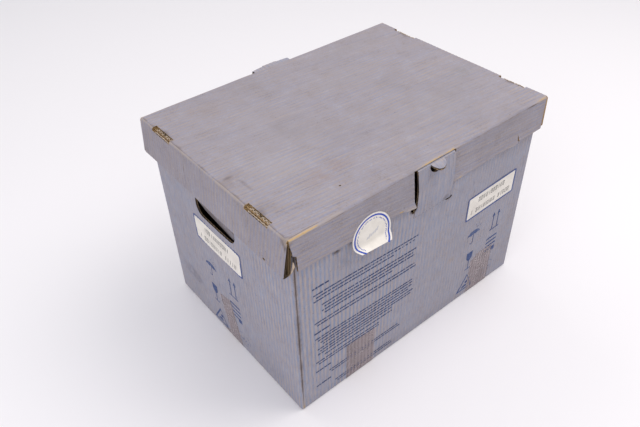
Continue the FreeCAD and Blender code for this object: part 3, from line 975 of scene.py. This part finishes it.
def lid_blank():
    """The lid's one sheet: top, long skirts, and ends that roll over and back up inside."""
    reach_u = END_START + ARC + SKIRT_DROP - 2 * FOLD_RADIUS
    skirt_x = LID_X - BOARD - 0.4
    rects = [
        (-END_START, END_START, -SIDE_START - ARC, SIDE_START + ARC),
        (-skirt_x, skirt_x, -SIDE_END, -SIDE_START),
        (-skirt_x, skirt_x, SIDE_START, SIDE_END),
    ]
    holes = [
        # both notches, whose left edges have been crushed back
        (NOTCH_LEFT - 3, NOTCH_RIGHT, -SIDE_END - 1, -SIDE_START - 3.2),
        (-NOTCH_RIGHT - 8.5, -NOTCH_LEFT, SIDE_START + 0.4, SIDE_END + 1),
    ]
    for side in (-1, 1):
        span = lambda a, b: (min(side * a, side * b), max(side * a, side * b))
        rects += [
            (*span(END_START, END_START + ARC), -SIDE_START - 1.4, SIDE_START + 1.4),
            (*span(END_START + ARC, reach_u), -LID_Y + 0.1, LID_Y - 0.1),
            (*span(reach_u, INNER_END), -SIDE_START - (1.4 if side < 0 else -0.6), SIDE_START - 0.6),
        ]
        for y in (-LOCK_TAB_Y, LOCK_TAB_Y):
            tab, slot = span(INNER_END, TAB_END - 1.6), span(LOCK_SLOT_X, END_START + ARC + 1.2)
            rects.append((*tab, y - LOCK_TAB_HALF, y + LOCK_TAB_HALF))
            holes.append((*slot, y - LOCK_SLOT_HALF, y + LOCK_SLOT_HALF))
    bends = [END_START + ARC * k / 5 for k in range(6)]
    bends += [reach_u + (INNER_START + ARC - reach_u) * k / 8 for k in range(9)]
    stops_u = [s * b for s in (-1, 1) for b in bends]
    stops_v = [s * (SIDE_START + ARC * k / 5) for s in (-1, 1) for k in range(6)]
    tear_top, tear_end = -SIDE_START - ARC, -SIDE_END - 1
    cutters = [
        # the torn left end of the front skirt
        [(-218, tear_end), (-208.6, tear_end), (-209.6, -186), (-218, -180)],
        [(-218, -181), (-212.6, -187), (-214.6, -178), (-215.6, tear_top), (-218, tear_top)],
        # a split in the right part of the front skirt, and a small puncture in the top
        [(164.5, tear_end), (169.5, tear_end), (164.0, -196.5)],
        polygon(-117.7, -124.6, 1.5, 1.1, count=9),
        # a torn spot on the left skirt
        polygon(-(reach_u - 2.2), -123.5, 1.2, 2.6, count=9),
    ]
    mesh = Mesh()
    board(mesh, rects, place_lid, "u", holes, cutters, lid_wear_and_highlight, (stops_u, stops_v), dirt_and_shade=lid_dirt)
    names = ["lid_top_panel", "lid_front_left_skirt", "lid_front_right_skirt"]
    names += ["lid_back_left_skirt", "lid_back_right_skirt"]
    for side in ("left", "right"):
        names += ["lid_%s_%s" % (side, part) for part in ("outer_panel", "saddle", "inner_panel")]
    mesh.piece("lid_blank", LID_MATERIALS, "lid", "printed_board", *names)


def ribbon(mesh, path, low, high, thick):
    """An upright paper strip along a path of (x, y), from height low to high at each point."""
    path = np.array(path, float)
    way = np.gradient(path, axis=0)
    way /= np.linalg.norm(way, axis=1)[:, None]
    off = np.stack([-way[:, 1], way[:, 0]], 1) * thick / 2
    n = len(path)
    sheets = []
    for shift, height in ((off, high), (-off, high), (-off, low), (off, low)):
        sheets.append(np.column_stack([path + shift, np.broadcast_to(height, n)]))
    faces = []
    for a, b in ((0, 1), (1, 2), (2, 3), (3, 0)):
        faces += [(a * n + k, a * n + k + 1, b * n + k + 1, b * n + k) for k in range(n - 1)]
    faces += [(0, n, 2 * n, 3 * n), (4 * n - 1, 3 * n - 1, 2 * n - 1, n - 1)]
    mesh.add(np.concatenate(sheets), faces, [0] * len(faces), 0.0, 0.0)


def lock_tab_edges():
    """Crushed board edges seen in the lock slots: the tab's flutes and the torn outer edge."""
    mesh = Mesh()
    for side in (-1, 1):
        for y in (-LOCK_TAB_Y, LOCK_TAB_Y):
            line = np.arange(-20.5, 15.0, PITCH / 10)
            crush = np.array([rng.uniform(0.2, 1.0) for _ in line])
            wave = np.sin(2 * np.pi * line / PITCH)
            tab_x = LID_X - 4.7 + 0.95 * wave + 0.25 * crush
            frayed = np.abs(ripple(line, 0 * line, 50 + int(y), 30.0))
            top = LID_TOP - 0.25 - 0.7 * crush - 0.5 * frayed
            top = top - 3.2 * near(line, -3, 3, 1.2)
            path = np.column_stack([side * tab_x, y + line])
            ribbon(mesh, path, LID_TOP - 4.0, top, 0.42)
            straight = np.column_stack([side * (LID_X - 6.2 + 0 * line), y + line])
            ribbon(mesh, straight, LID_TOP - 4.0, top - 0.6, 0.25)
            outer_x = LID_X - 1.1 + 0.35 * wave + 0.3 * crush
            high = LID_TOP - 1.6 - 2.0 * crush
            ribbon(mesh, np.column_stack([side * outer_x, y + line]), LID_TOP - 5.5, high, 0.4)
    mesh.piece("lock_tab_edges", [torn_edge], "lid", "kraft_board", smooth=60.0)


def torn_corner():
    """A tongue of torn liner standing in the split at the lid's front left corner."""
    outline = [(-219.4, 270), (-217.2, 273.6), (-214.4, 278.6), (-215.2, 283), (-216.4, 287.6)]
    outline += [(-217.4, 288), (-217.6, 282), (-218.6, 276)]
    middle = tuple(np.mean(outline, 0))
    n = len(outline)
    flat = (np.array(outline + [middle]), [(k, (k + 1) % n, n) for k in range(n)])

    def place(u, v, w):
        return np.stack([u, -163.4 - w - 0.12 * (v - 279), v], 1)

    mesh = Mesh()
    mesh.slab(flat, place, 0.2, -0.2, (0, 0, 0))
    mesh.piece("torn_corner_paper", [torn_edge], "lid", "kraft_board")


def dust_flaps():
    """Crushed flaps from the skirts' ends, tucked inside the lid's end laps."""
    for sx, side in ((-1, "left"), (1, "right")):
        for sy, face in ((-1, "front"), (1, "back")):
            name = "lid_%s_%s_dust_flap" % (side, face)
            low, high = corners_mm(name)
            torn = sx < 0 and sy < 0

            def place(u, v, w, sx=sx, sy=sy, torn=torn):
                drop = LID_TOP - v
                tilt = end_flare(np.full_like(u, sx), sy * (SIDE_START - u))
                hung = np.clip(drop - FOLD_RADIUS, 0, None)
                out = LID_X - BOARD - 0.15 + w + tilt * hung / SKIRT_DROP
                turn = np.clip(1 - u / 2.5, 0, 1) ** 2 * 1.6
                inset = 8.5 if torn else -0.3
                return np.stack([sx * (out - turn), sy * (SIDE_START - inset - u), v], 1)

            bottom, top = low[2] + 0.6, high[2] - 6.0
            tear = [(-1, bottom - 1), (5.0, bottom - 1), (2.2, bottom + 11), (-1, bottom + 15)]
            cutters = [tear] if torn else []
            flat = flat_sheet([(0, high[1] - low[1], bottom, top)], (), cutters, PITCH / 4, 8.0)
            u, v = flat[0].T
            wave = 0.05 * np.cos(2 * np.pi * v / PITCH)
            mesh = Mesh()
            mesh.slab(flat, place, wave, -0.95 + wave, (0, 1, 2), v / PITCH, 0.2)
            mesh.piece(name + "_board", LID_MATERIALS, "lid", "printed_board", name)


# ---------------------------------------------------------------- tongues and hand flaps


def back_bow(u):
    """How far the back tongue's fold is pushed outward, along its length."""
    return 6.0 * (1 - np.clip(np.abs(u + TONGUE_X - 4) / 46, 0, 1) ** 3)


def tongue_place(side):
    """The tongue's x and height above its crease to a place. side is -1 front, 1 back."""
    front = side < 0
    wall_bulge = front_bulge if front else back_bulge
    belly = 1.6 if front else 0.8

    def place(u, v, w):
        t = np.clip(v / TONGUE_RISE, 0, 1)
        base = -BODY_Y - wall_bulge(u, np.full_like(u, CREASE_Z))
        top = FOLD_Y if front else -BACK_FOLD_Y - back_bow(u)
        y = base + (top - base) * t - belly * np.sin(np.pi * t)
        y = y - w
        twist = 0.7 * (u - TONGUE_X * -side) / TONGUE_HALF * np.sin(np.pi * t)
        return np.stack([u, (y - twist) * -side, CREASE_Z + v], 1)

    return place


def tongue(side, node):
    """A locking tongue that bends at its crease, with a worn fold and a frayed left side."""
    middle = TONGUE_X if side < 0 else -TONGUE_X
    left, right, rise = middle - TONGUE_HALF, middle + TONGUE_HALF, TONGUE_RISE
    cut = TAB_RADIUS + 0.3
    thumb = polygon(middle, rise, cut, cut, 180, 360, 16)
    thumb += [(middle + cut, rise + 1), (middle - cut, rise + 1)]
    frayed = [(left - 1, 10), (left + 4, 14), (left + 4, 40), (left + 1.2, rise + 1), (left - 1, rise + 1)]
    cutters = [thumb, frayed] if side < 0 else [thumb]

    def wear_and_highlight(u, v):
        fold = 0.8 * near(v, rise, 3.5)
        side_edge = np.interp(v, [0, 12, 14, 40, rise], [9, 9, 4, 4, 1.2])
        return fold + 0.62 * near(u - left, side_edge, 1.6) * (v > 12)

    stops = ((), [2, 5, 9, 14, 20, 28, 36, 44, 52, 60])
    mesh = Mesh()
    board(mesh, [(left, right, 0.15, rise)], tongue_place(side), "v", (), cutters, wear_and_highlight, stops)
    piece = mesh.make(node + "_board", BOARD_MATERIALS)
    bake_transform(piece)
    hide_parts(node)


def tuck(side, body, node):
    """The tuck flap and its half-moon thumb tab, with the fold's rounded outer edge."""
    front = side < 0
    middle = TONGUE_X if front else -TONGUE_X
    fold_y = abs(FOLD_Y) if front else BACK_FOLD_Y
    rounding = 0.45  # how much of the full round the soft fold takes
    bend, bend_power = (4.6, 1.5) if front else (12.0, 1.1)
    shrink, shrink_power = (0.16, 1) if front else (0.8, 0.4)
    raised = 0 if front else 1.0

    def place(u, v, w):
        """v runs outward from the fold line: positive out along the tab, negative inward."""
        away = np.clip(v / TAB_RADIUS, 0, 1)
        on_tab = (np.abs(u - middle) < TAB_RADIUS + 0.5).astype(float)
        droop = bend * away**bend_power * on_tab * (1 + 0.2 * (u - middle) / TAB_RADIUS)
        v = v - shrink * np.clip(v, 0, None) * away**shrink_power * on_tab
        edge = np.clip(v + FOLD_RADIUS, 0, FOLD_RADIUS) * (1 - on_tab)
        round_off = FOLD_RADIUS - np.sqrt(np.clip(FOLD_RADIUS**2 - edge**2, 0, None))
        z = TUCK_TOP + w - droop - round_off * np.clip(1 + w / BOARD, 0, 1) * rounding + raised
        bow = 0 if front else back_bow(u)
        out = fold_y + v + bow * np.clip(1 + v / TUCK_DEPTH, 0, 1)
        return np.stack([u, side * out, z], 1)

    rects = [
        (middle - TUCK_HALF, middle + TUCK_HALF, -TUCK_DEPTH, 0),
        (middle - TAB_RADIUS, middle + TAB_RADIUS, 0, TAB_RADIUS),
    ]
    wear_and_highlight = lambda u, v: 0.6 * near(v, 0, 3) + 0.35 * (v > 0)
    mesh = Mesh()
    stops = [-2.4, -1.8, -1.1, -0.5, 2, 4, 6, 8, 10, 12]
    board(mesh, rects, place, "v", (), trimmed_disc(middle), wear_and_highlight, ((), stops))
    lip = [
        (middle - TUCK_HALF, middle - TAB_RADIUS - 0.4, 0, 3.0),
        (middle + TAB_RADIUS + 0.4, middle + TUCK_HALF, 0, 3.0),
    ]
    flat = flat_sheet(lip, step_u=PITCH / 6, step_v=1.0)
    u, v = flat[0].T
    front_line = place(u, 0 * v, 0 * v)

    def hang(u, v, w):
        return np.stack([u, front_line[:, 1] + side * (0.1 + w), front_line[:, 2] - v], 1)

    mesh.slab(flat, hang, 0.25, 0.0, (0, 0, 0), u / PITCH, 0.45 * np.clip(1 - v / 1.5, 0, 1))
    mesh.piece(node + "_board", BOARD_MATERIALS, body, "printed_board", node)


def trimmed_disc(middle):
    """Cutters that trim a square tab to a half disc, one for each short side of its rim."""
    rim = polygon(middle, 0, TAB_RADIUS, TAB_RADIUS, 0, 180, 12)
    outward = [((x - middle) * 1.5 + middle, y * 1.5) for x, y in rim]
    return [list(corners) for corners in zip(rim, outward, outward[1:], rim[1:])]


def hand_flap(side, body, node):
    """A push-in flap: hinged along its top, pushed well in, most at its back end."""
    low, high = corners_mm(node)
    middle = (low[1] + high[1]) / 2
    half = HAND_HALF - 0.8

    def place(u, v, w):
        drop = HAND_TOP - v
        twist = np.clip((u - middle) * -side / HAND_HALF, -1, 1)
        angle = np.radians(HAND_REST + 5.5 + 5 * twist)
        x = BODY_X - BOARD - drop * np.sin(angle) + (BOARD + w) * np.cos(angle) + end_bulge(u, v)
        z = HAND_TOP - drop * np.cos(angle) - (BOARD + w) * np.sin(angle)
        return np.stack([side * x, u, z], 1)

    bottom = HAND_BOTTOM + 0.9
    square = [(middle - half, middle + half, bottom, HAND_TOP - 0.5)]
    cutters = []
    corner = HAND_CORNER - 0.5
    for sign in (-1, 1):
        centre = middle + sign * (half - corner)
        start = 270 if sign > 0 else 180
        arc = polygon(centre, bottom + corner, corner, corner, start, start + 90, 6)
        tip = (centre + sign * corner * 1.3, bottom - corner * 0.3)
        for p, q in zip(arc, arc[1:]):
            cutters.append([p, tip, q])
    # The flap is painted darker all over as shade, for it sits back in the hole.
    shade = lambda u, v: 0.7 + 0.15 * ripple(u, v, 61, 30.0)
    rows = [HAND_TOP - 3, HAND_TOP - 10, HAND_TOP - 18]
    mesh = Mesh()
    board(mesh, square, place, "v", (), cutters, None, ((), rows), dirt_and_shade=shade)
    mesh.piece(node + "_board", BOARD_MATERIALS, body, "printed_board", node)


# ---------------------------------------------------------------- printing, paper and tape


def on_front(x, z, w):
    return place_wall(front_u(x), z, w)


def on_left(y, z, w):
    return place_wall(left_u(y), z, w)


class Ink:
    """Flat marks laid on a wall, each a little closed slab that follows the board."""

    def __init__(self, place, height=0.16):
        self.mesh, self.place, self.height = Mesh(), place, height

    def shape(self, points, faces):
        flat = (np.array(points, float), faces)
        self.mesh.slab(flat, self.place, self.height, self.height - 0.05, (0, 0, 0))

    def bar(self, a0, a1, b0, b1, slant=0.0):
        """A bar from a0 to a1 across and b0 to b1 up, in pieces short enough to follow."""
        count = max(1, int(abs(a1 - a0) / 8))
        steps = np.linspace(a0, a1, count + 1)
        points = [(a, b0) for a in steps] + [(a + slant, b1) for a in steps]
        n = count + 1
        self.shape(points, [(k, k + 1, n + k + 1, n + k) for k in range(count)])

    def fan(self, outline):
        """A filled outline around its own middle."""
        middle = np.mean(outline, 0)
        n = len(outline)
        points = list(outline) + [tuple(middle)]
        self.shape(points, [(k, (k + 1) % n, n) for k in range(n)])

    def band(self, inner, outer, closed=True):
        n = len(inner)
        last = n if closed else n - 1
        faces = [(k, (k + 1) % n, n + (k + 1) % n, n + k) for k in range(last)]
        self.shape(list(inner) + list(outer), faces)

    def make(self, name, material, body, slot="printed_board"):
        self.mesh.piece(name, [material], body, slot)


def words(ink, a0, a1, b, height):
    """A row of word-long dashes between a0 and a1."""
    a = a0
    while a < a1 - 1.0:
        length = min(rng.choice((3.4, 5.0, 7.0, 9.0, 11.0)), a1 - a)
        letter = 0.0
        while letter < length - 0.6:
            step = rng.uniform(0.9, 1.7)
            tall = height * rng.choice((0.84, 0.9, 1.0))
            ink.bar(a + letter, a + min(letter + step * 0.93, length), b, b + tall)
            letter += step
        a += length + 0.9


def paragraph_rows():
    """Rows of the front wall's print: left end, right end and height on the wall."""
    left, right = -186.0, -12.0
    blocks = (
        # first row's height, row pitch, rows, and how far the block is set in at each end
        (205.6, 5.4, 3, 0, 2),
        (183.4, 5.4, 4, 12, 6),
        (156.0, 5.4, 2, 0, 4),
        (126.3, 4.9, 2, 0, 2),
        (115.6, 4.9, 2, 8, 8),
        (104.6, 5.1, 3, 3, 5),
        (87.6, 4.0, 1, 14, 40),
        (79.7, 4.9, 2, 0, 60),
        (47.4, 4.7, 2, 21, 24),
        (17.7, 4.7, 2, 31, 35),
    )
    for top, pitch, count, inset_left, inset_right in blocks:
        for k in range(count):
            short = rng.choice((0, 3, 6)) + (38 if k == count - 1 and count > 2 else 0)
            yield left + inset_left + 4 * (k % 2), right - inset_right - short, top - pitch * k


def handling_marks(ink, a, z, way, apart):
    """Generic handling pictograms around (a, z), the middle of the block. way mirrors them and
    apart moves the right-hand column outward."""

    def moved(points):
        return [(a + way * (x + (apart if x > 0 else 0)), z + y) for x, y in points]

    def box(x0, x1, y0, y1):
        ink.fan(moved([(x0, y0), (x1, y0), (x1, y1), (x0, y1)]))

    # an umbrella under five drops of rain
    dome = polygon(-25, 41, 14.5, 9.0, 8, 172, 14)
    scallops = [(-34.5, 43.2), (-30, 41.4), (-25, 43.6), (-20, 41.4), (-15.5, 43.2)]
    ink.fan(moved(dome + scallops))
    ink.fan(moved([(-25.6, 43), (-25.6, 27.5), (-24.4, 27.5), (-24.4, 43)]))
    hook = [polygon(-27.6, 27.5, radius, radius, 180, 360, 8) for radius in (3.2, 2.0)]
    ink.band(moved(hook[0]), moved(hook[1]), closed=False)
    for x, y in ((-20, 53.5), (-16, 56.5), (-12, 52.5), (-23, 57), (-17.5, 51.5)):
        ink.fan(moved([(x, y), (x + 0.7, y), (x + 2.2, y + 2.6), (x + 1.5, y + 2.6)]))
    # two arrows that stand on a line
    for x in (14.5, 26.0):
        box(x - 0.9, x + 0.9, 26, 52)
        ink.fan(moved([(x - 3.4, 50.5), (x + 3.4, 50.5), (x, 58)]))
    box(9.5, 31, 23.6, 25.6)
    # a stemmed glass
    bowl = [(-32.5, 6.5), (-18.5, 6.5), (-19.6, -6), (-23.4, -10.6), (-27.6, -10.6), (-31.4, -6)]
    ink.fan(moved(bowl))
    ink.fan(moved([(-26.2, -10), (-24.8, -10), (-24.8, -26.5), (-26.2, -26.5)]))
    box(-31.5, -19.5, -28.6, -26.8)
    # a stack of bars
    for k in range(4):
        y = 7.0 - 8.2 * k
        ink.fan(moved([(6, y - 1.5), (31, y - 1.5), (31, y + 1.5), (8, y + 1.5)]))
    box(22.5, 31, -24.5, -17)
    # a triangle with two lumps inside it
    ink.fan(moved([(-43, -75), (-39.6, -75), (-21.6, -46), (-22.4, -42)]))
    ink.fan(moved([(-22.4, -42), (-21.0, -47), (-9.6, -74), (-6.5, -75)]))
    ink.fan(moved([(-41, -75), (-7, -75), (-8.4, -72.6), (-39.5, -72.6)]))
    ink.fan(moved([(-25, -58), (-19, -56), (-17.5, -61), (-23, -63)]))
    ink.fan(moved([(-30, -66), (-22, -64.5), (-18, -69), (-31, -70)]))


def prints():
    """The front wall's rows of dashes, and the marks on the front and on the left end."""
    text = Ink(on_front)
    for z in (217.0, 137.3, 61.0, 30.3):
        words(text, -187, -162, z - 1.3, 2.8)
    for left, right, z in paragraph_rows():
        words(text, left, right, z - 1.0, 2.2)
    text.make("front_print", text_ink, "carton")
    handling = (("front", on_front, 132.5, 88, 1, 6), ("left", on_left, 15.5, 83, -1, 9))
    for name, place, a, z, way, apart in handling:
        marks = Ink(place)
        handling_marks(marks, a, z, way, apart)
        marks.make(name + "_handling_marks", navy_ink, "carton")
    for name, place, a, z, way in (("front", on_front, 158, 31, 1), ("left", on_left, -23, 26, -1)):
        faint = Ink(place)
        blotch(faint, a, z, way)
        faint.make(name + "_faint_mark", pale_ink, "carton")


def blotch(ink, a, z, way):
    """A worn round mark with nothing readable left in it."""
    for start, end in ((20, 80), (120, 200), (230, 330)):
        inner = polygon(a, z, 14.0, 11.5, start, end, 6)
        outer = polygon(a, z, 15.4, 12.8, start, end, 6)
        ink.band(inner, outer, closed=False)
    for k in range(7):
        x = a - 9 + 2.9 * k
        y = z - 5 + rng.uniform(-2, 4)
        ink.bar(x, x + 1.9, y, y + rng.uniform(2.4, 5.0), 0.9 * way)


def rounded(cx, cz, half_w, half_h, radius, count=5):
    """A rounded rectangle's outline, anticlockwise."""
    out = []
    for sx, sz, start in ((1, 1, 0), (-1, 1, 90), (-1, -1, 180), (1, -1, 270)):
        centre = (cx + sx * (half_w - radius), cz + sz * (half_h - radius))
        out += polygon(*centre, radius, radius, start, start + 90, count)
    return out


def paper_label(name, node, place, axis, way):
    """A paper label in a printed frame, with rows of plain strokes. axis is the one it runs
    along, and way is -1 where that axis runs right to left on the wall."""
    low, high = corners_mm(node)
    middle, z = (low[axis] + high[axis]) / 2, (low[2] + high[2]) / 2
    half_w, half_h = (high[axis] - low[axis]) / 2, (high[2] - low[2]) / 2
    sheet_w, sheet_h = half_w - 2, half_h - 2
    mesh = Mesh()
    rect = (middle - sheet_w, middle + sheet_w, z - sheet_h, z + sheet_h)
    flat = flat_sheet([rect], step_u=1.5, step_v=4.0)
    u, v = flat[0].T
    press = 0.24 + 0.05 * np.cos(2 * np.pi * u / PITCH) + 0.05 * ripple(u, v, 12, 30.0)
    mesh.slab(flat, place, press, press - 0.09, (0, 0, 0))
    mesh.piece(name, [label_paper], "carton", "paper_label", node)
    frame_ink = Ink(place, 0.3)
    inner = rounded(middle, z, half_w - 2.6, half_h - 2.6, 1.6)
    frame_ink.band(inner, rounded(middle, z, half_w, half_h, 3.4))
    frame_ink.make(name + "_border", border_ink, "carton", "paper_label")
    strokes = Ink(place, 0.36)
    tall = 7.6
    # strokes in a row, the row's height, its pitch and the places left empty
    for count, y, pitch, gaps in ((11, 4.4, 5.4, ()), (16, -13.2, 5.5, (1, 10))):
        start = middle - way * pitch * count / 2
        for k in range(count):
            if k in gaps:
                continue
            a = start + way * pitch * k
            mark = rng.choice(("bar", "two", "box"))
            wide = rng.uniform(2.6, 3.6)
            for dx in ([1.4] if mark == "bar" else [0, wide - 0.7]):
                strokes.bar(a + way * dx, a + way * (dx + 0.75), z + y, z + y + tall, 1.1 * way)
            if mark == "box":
                for dy in (0, tall - 0.8):
                    strokes.bar(a, a + way * wide, z + y + dy, z + y + dy + 0.7)
    strokes.make(name + "_strokes", stroke_ink, "carton", "paper_label")


def tape_place(wall, middle, reach):
    """u across the tape and v along it, from the middle of the bottom, to a place."""

    def place(u, v, w):
        far = np.abs(v)
        height = np.clip(far - reach, FOLD_RADIUS * (1 - math.pi / 2), None)
        if wall == "front":
            at = np.where(v > 0, front_u(middle + u), back_u(middle + u))
            flat = np.stack([middle + u, -v, 0.16 - w], 1)
        else:
            at = np.where(v > 0, left_u(middle + u), right_u(middle + u))
            flat = np.stack([-v, middle + u, 0.27 - w], 1)
        climbed = place_wall(at, height, w + 0.18)
        return np.where((far > reach - 0.6)[:, None], climbed, flat)

    return place


def tape_tears(node, half, reach, track):
    """What is torn off a tape's end. half is half its width and track its end's distance."""
    end = track + 1
    if node == "bottom_seam_tape":
        return [
            [(5.5, reach + 12), (half + 1, reach + 2), (half + 1, end), (20, end)],
            [(-half - 1, reach + 4), (-half + 1.5, reach + 14), (-10.5, end), (-half - 1, end)],
            [(21, track - 9), (21, end), (-12, end)],
        ]
    if node == "cross_tape_right":
        return [[(-half - 1, track - 8), (-half + 12, track - 1), (-half + 12, end), (-half - 1, end)]]
    return []


def tapes():
    """Tape bands: along the bottom seam and across it, their ends turned up the walls."""
    for node, wall in (
        ("cross_tape_left", "front"),
        ("cross_tape_right", "front"),
        ("bottom_seam_tape", "left"),
    ):
        low, high = corners_mm(node)
        axis, reach = (0, BODY_Y) if wall == "front" else (1, BODY_X)
        middle, half = (low[axis] + high[axis]) / 2, (high[axis] - low[axis]) / 2
        track = high[2] + reach
        stops = [s * (reach + h) for s in (-1, 1) for h in (-1.48, -0.59, -0.61, 0.6, 1.7, 2.8, 6)]
        tears = tape_tears(node, half, reach, track)
        flat = flat_sheet([(-half, half, -track, track)], (), tears, 1.3, 16.0, (), stops)
        u, v = flat[0].T
        lift = 0.04 * np.cos(2 * np.pi * u / PITCH)
        if node != "cross_tape_left":
            across = (u * 0.7 + (v - track + 34) * 0.72) / 1.6
            lift = lift + 0.5 * np.exp(-(across**2)) * (v > reach + 6)  # a slanting crease
        mesh = Mesh()
        place = tape_place(wall, middle, reach)
        mesh.slab(flat, place, lift, lift - 0.05, (0, 0, 0), (middle + u) / PITCH)
        mesh.piece(node + "_film", [tape_material], "carton", "packing_tape", node)


def seal():
    """A round seal stuck to the front skirt. Its lower part hangs free and curls outward."""
    low, high = corners_mm("seal_sticker")
    radius, chord = (high[0] - low[0]) / 2 - 3, 19.5
    cx, cz = (low[0] + high[0]) / 2 - 2.5, high[2] - radius - 4.5
    roll, most = 4.2, 1.15  # the curl's radius, and the angle at which it runs straight on

    def place(u, v, w):
        """u across, v up from the seal's middle. It rolls outward below a slanting line."""
        curl_line = cz - 7.0 + 0.06 * u
        length = np.clip(curl_line - (cz + v), 0, None)
        turn = np.minimum(length / roll, most)
        rest = np.clip(length - roll * most, 0, None)
        out = roll * (1 - np.cos(turn)) + rest * math.sin(most)
        z = np.maximum(cz + v, curl_line)
        down = (LID_TOP - z - FOLD_RADIUS) / (SKIRT_DROP - FOLD_RADIUS)
        tilt = side_flare(np.full_like(u, -1.0), cx + u) * down
        y = -(LID_Y + 0.35 * ripple(cx + u, -z, 9, 70.0) + tilt) - 0.32
        y = y - out - w * np.cos(turn)
        fallen = np.where(length > 0, roll * np.sin(turn) + rest * math.cos(most), 0)
        return np.stack([cx + u, y, z - fallen + w * np.sin(turn)], 1)

    disc = polygon(0, 0, radius, radius, count=60)
    outer = [(x * 1.6, y * 1.6) for x, y in disc]
    outside = [list(c) for c in zip(disc, outer, outer[1:] + outer[:1], disc[1:] + disc[:1])]
    flat = flat_sheet([(-radius, radius, -chord, radius)], (), outside, 2.0, 2.0)
    u, v = flat[0].T
    cockle = 0.12 * ripple(u, v, 15, 22.0)
    mesh = Mesh()
    mesh.slab(flat, place, cockle + 0.1, cockle - 0.02, (0, 0, 0))
    mesh.piece("seal_paper", [seal_paper], "lid", "paper_label", "seal_sticker")

    def laid(u, v, w):
        return place(u, v, w + 0.12 * ripple(u, v, 15, 22.0))

    ring = Ink(laid, 0.2)
    start = -math.degrees(math.asin(chord / (radius - 4.5))) + 1
    arcs = [polygon(0, 0, radius - gap, radius - gap, start, 180 - start, 60) for gap in (4.3, 2.2)]
    ring.band(*arcs, closed=False)
    dots = 84
    for k in range(dots):
        angle = math.radians(start + 4 + (172 - 2 * start) * k / (dots - 1))
        reach = radius - 7.2 + rng.choice((-0.3, 0, 0.4))
        x, y = reach * math.cos(angle), reach * math.sin(angle)
        if rng.random() < 0.78:
            ring.fan(polygon(x, y, 0.45, 0.75, count=6))
    ring.make("seal_ring", seal_ink, "lid", "paper_label")
    faint = Ink(laid, 0.2)
    for k in range(6):
        x = -9 + 3.1 * k
        middle = 0.4 * x + 1.0
        faint.bar(x, x + 1.5, middle - rng.uniform(1.5, 3), middle + rng.uniform(1.5, 3.5), 2.4)
    faint.make("seal_faint_mark", seal_faint, "lid", "paper_label")


# ---------------------------------------------------------------- stage


def stage():
    """A pale floor, soft light from all round and three broad lamps."""
    floor_material, _, _, shader = new_material("studio_floor")
    shader.inputs["Base Color"].default_value = (0.90, 0.875, 0.89, 1)
    shader.inputs["Roughness"].default_value = 0.6
    shader.inputs["Specular IOR Level"].default_value = 0.25
    mesh = bpy.data.meshes.new("studio_floor")
    reach = 9.0
    corners = [(x * reach, y * reach, 0) for x, y in ((-1, -1), (1, -1), (1, 1), (-1, 1))]
    mesh.from_pydata(corners, [], [(0, 1, 2, 3)])
    mesh.materials.append(floor_material)
    floor = bpy.data.objects.new("studio_floor", mesh)
    floor.location.z = -0.0004
    bpy.context.scene.collection.objects.link(floor)

    world = bpy.data.worlds.new("studio_light")
    bpy.context.scene.world = world
    world.use_nodes = True
    sky = world.node_tree.nodes["Background"]
    sky.inputs["Color"].default_value = (0.93, 0.95, 1.0, 1)
    sky.inputs["Strength"].default_value = 0.58
    lamps = (
        ("key", (0.9, -0.5, 1.9), (1.5, 1.5), 23.0, (1.0, 0.96, 0.93)),
        ("fill", (-1.5, -0.6, 1.3), (1.4, 1.4), 11.0, (0.96, 0.96, 1.0)),
        ("back", (-0.2, 1.6, 1.8), (1.8, 1.2), 8.0, (1.0, 0.97, 0.95)),
    )
    for name, spot, size, power, colour in lamps:
        light = bpy.data.lights.new(name, "AREA")
        light.shape = "RECTANGLE"
        light.size, light.size_y = size
        light.energy = power
        light.color = colour
        lamp = bpy.data.objects.new(name, light)
        way = -np.array(spot) + np.array((0, 0, 0.15))
        lamp.matrix_world = look(spot, way)
        bpy.context.scene.collection.objects.link(lamp)


def look(spot, way):
    """A matrix at spot whose -Z points along way, with +Z of the scene up."""
    back = -np.array(way, float) / np.linalg.norm(way)
    right = np.cross((0, 0, 1), back)
    right /= np.linalg.norm(right)
    up = np.cross(back, right)
    rows = [[right[k], up[k], back[k], spot[k]] for k in range(3)]
    return Matrix(rows + [[0, 0, 0, 1]])


def camera():
    """Above the front left corner. Its axes and place are in the carton's own frame, in metres."""
    data = bpy.data.cameras.new("camera")
    data.lens = 36.04
    data.sensor_width = 36.0
    data.clip_end = 50.0
    cam = bpy.data.objects.new("camera", data)
    right = (0.77208, -0.63500, -0.02580)
    up = (0.42556, 0.48643, 0.76308)
    forward = (0.47200, 0.60014, -0.64579)
    spot = (-0.4883, -0.5578, 0.7570)
    rows = [[right[k], up[k], -forward[k], spot[k]] for k in range(3)]
    cam.matrix_world = Matrix(rows + [[0, 0, 0, 1]])
    bpy.context.scene.collection.objects.link(cam)
    bpy.context.scene.camera = cam


camera()
stage()
carton_walls()
bottom_flaps()
lid_blank()
lock_tab_edges()
torn_corner()
dust_flaps()
tongue(-1, "front_tongue")
tongue(1, "back_tongue")
tuck(-1, "front_tuck", "front_tuck_flap")
tuck(1, "back_tuck", "back_tuck_flap")
hand_flap(-1, "left_hand_flap", "left_hand_flap")
hand_flap(1, "right_hand_flap", "right_hand_flap")
prints()
paper_label("front_label_paper", "front_label", on_front, 0, 1)
paper_label("left_label_paper", "left_end_label", on_left, 1, -1)
tapes()
seal()
bpy.context.scene.view_settings.view_transform = "Standard"
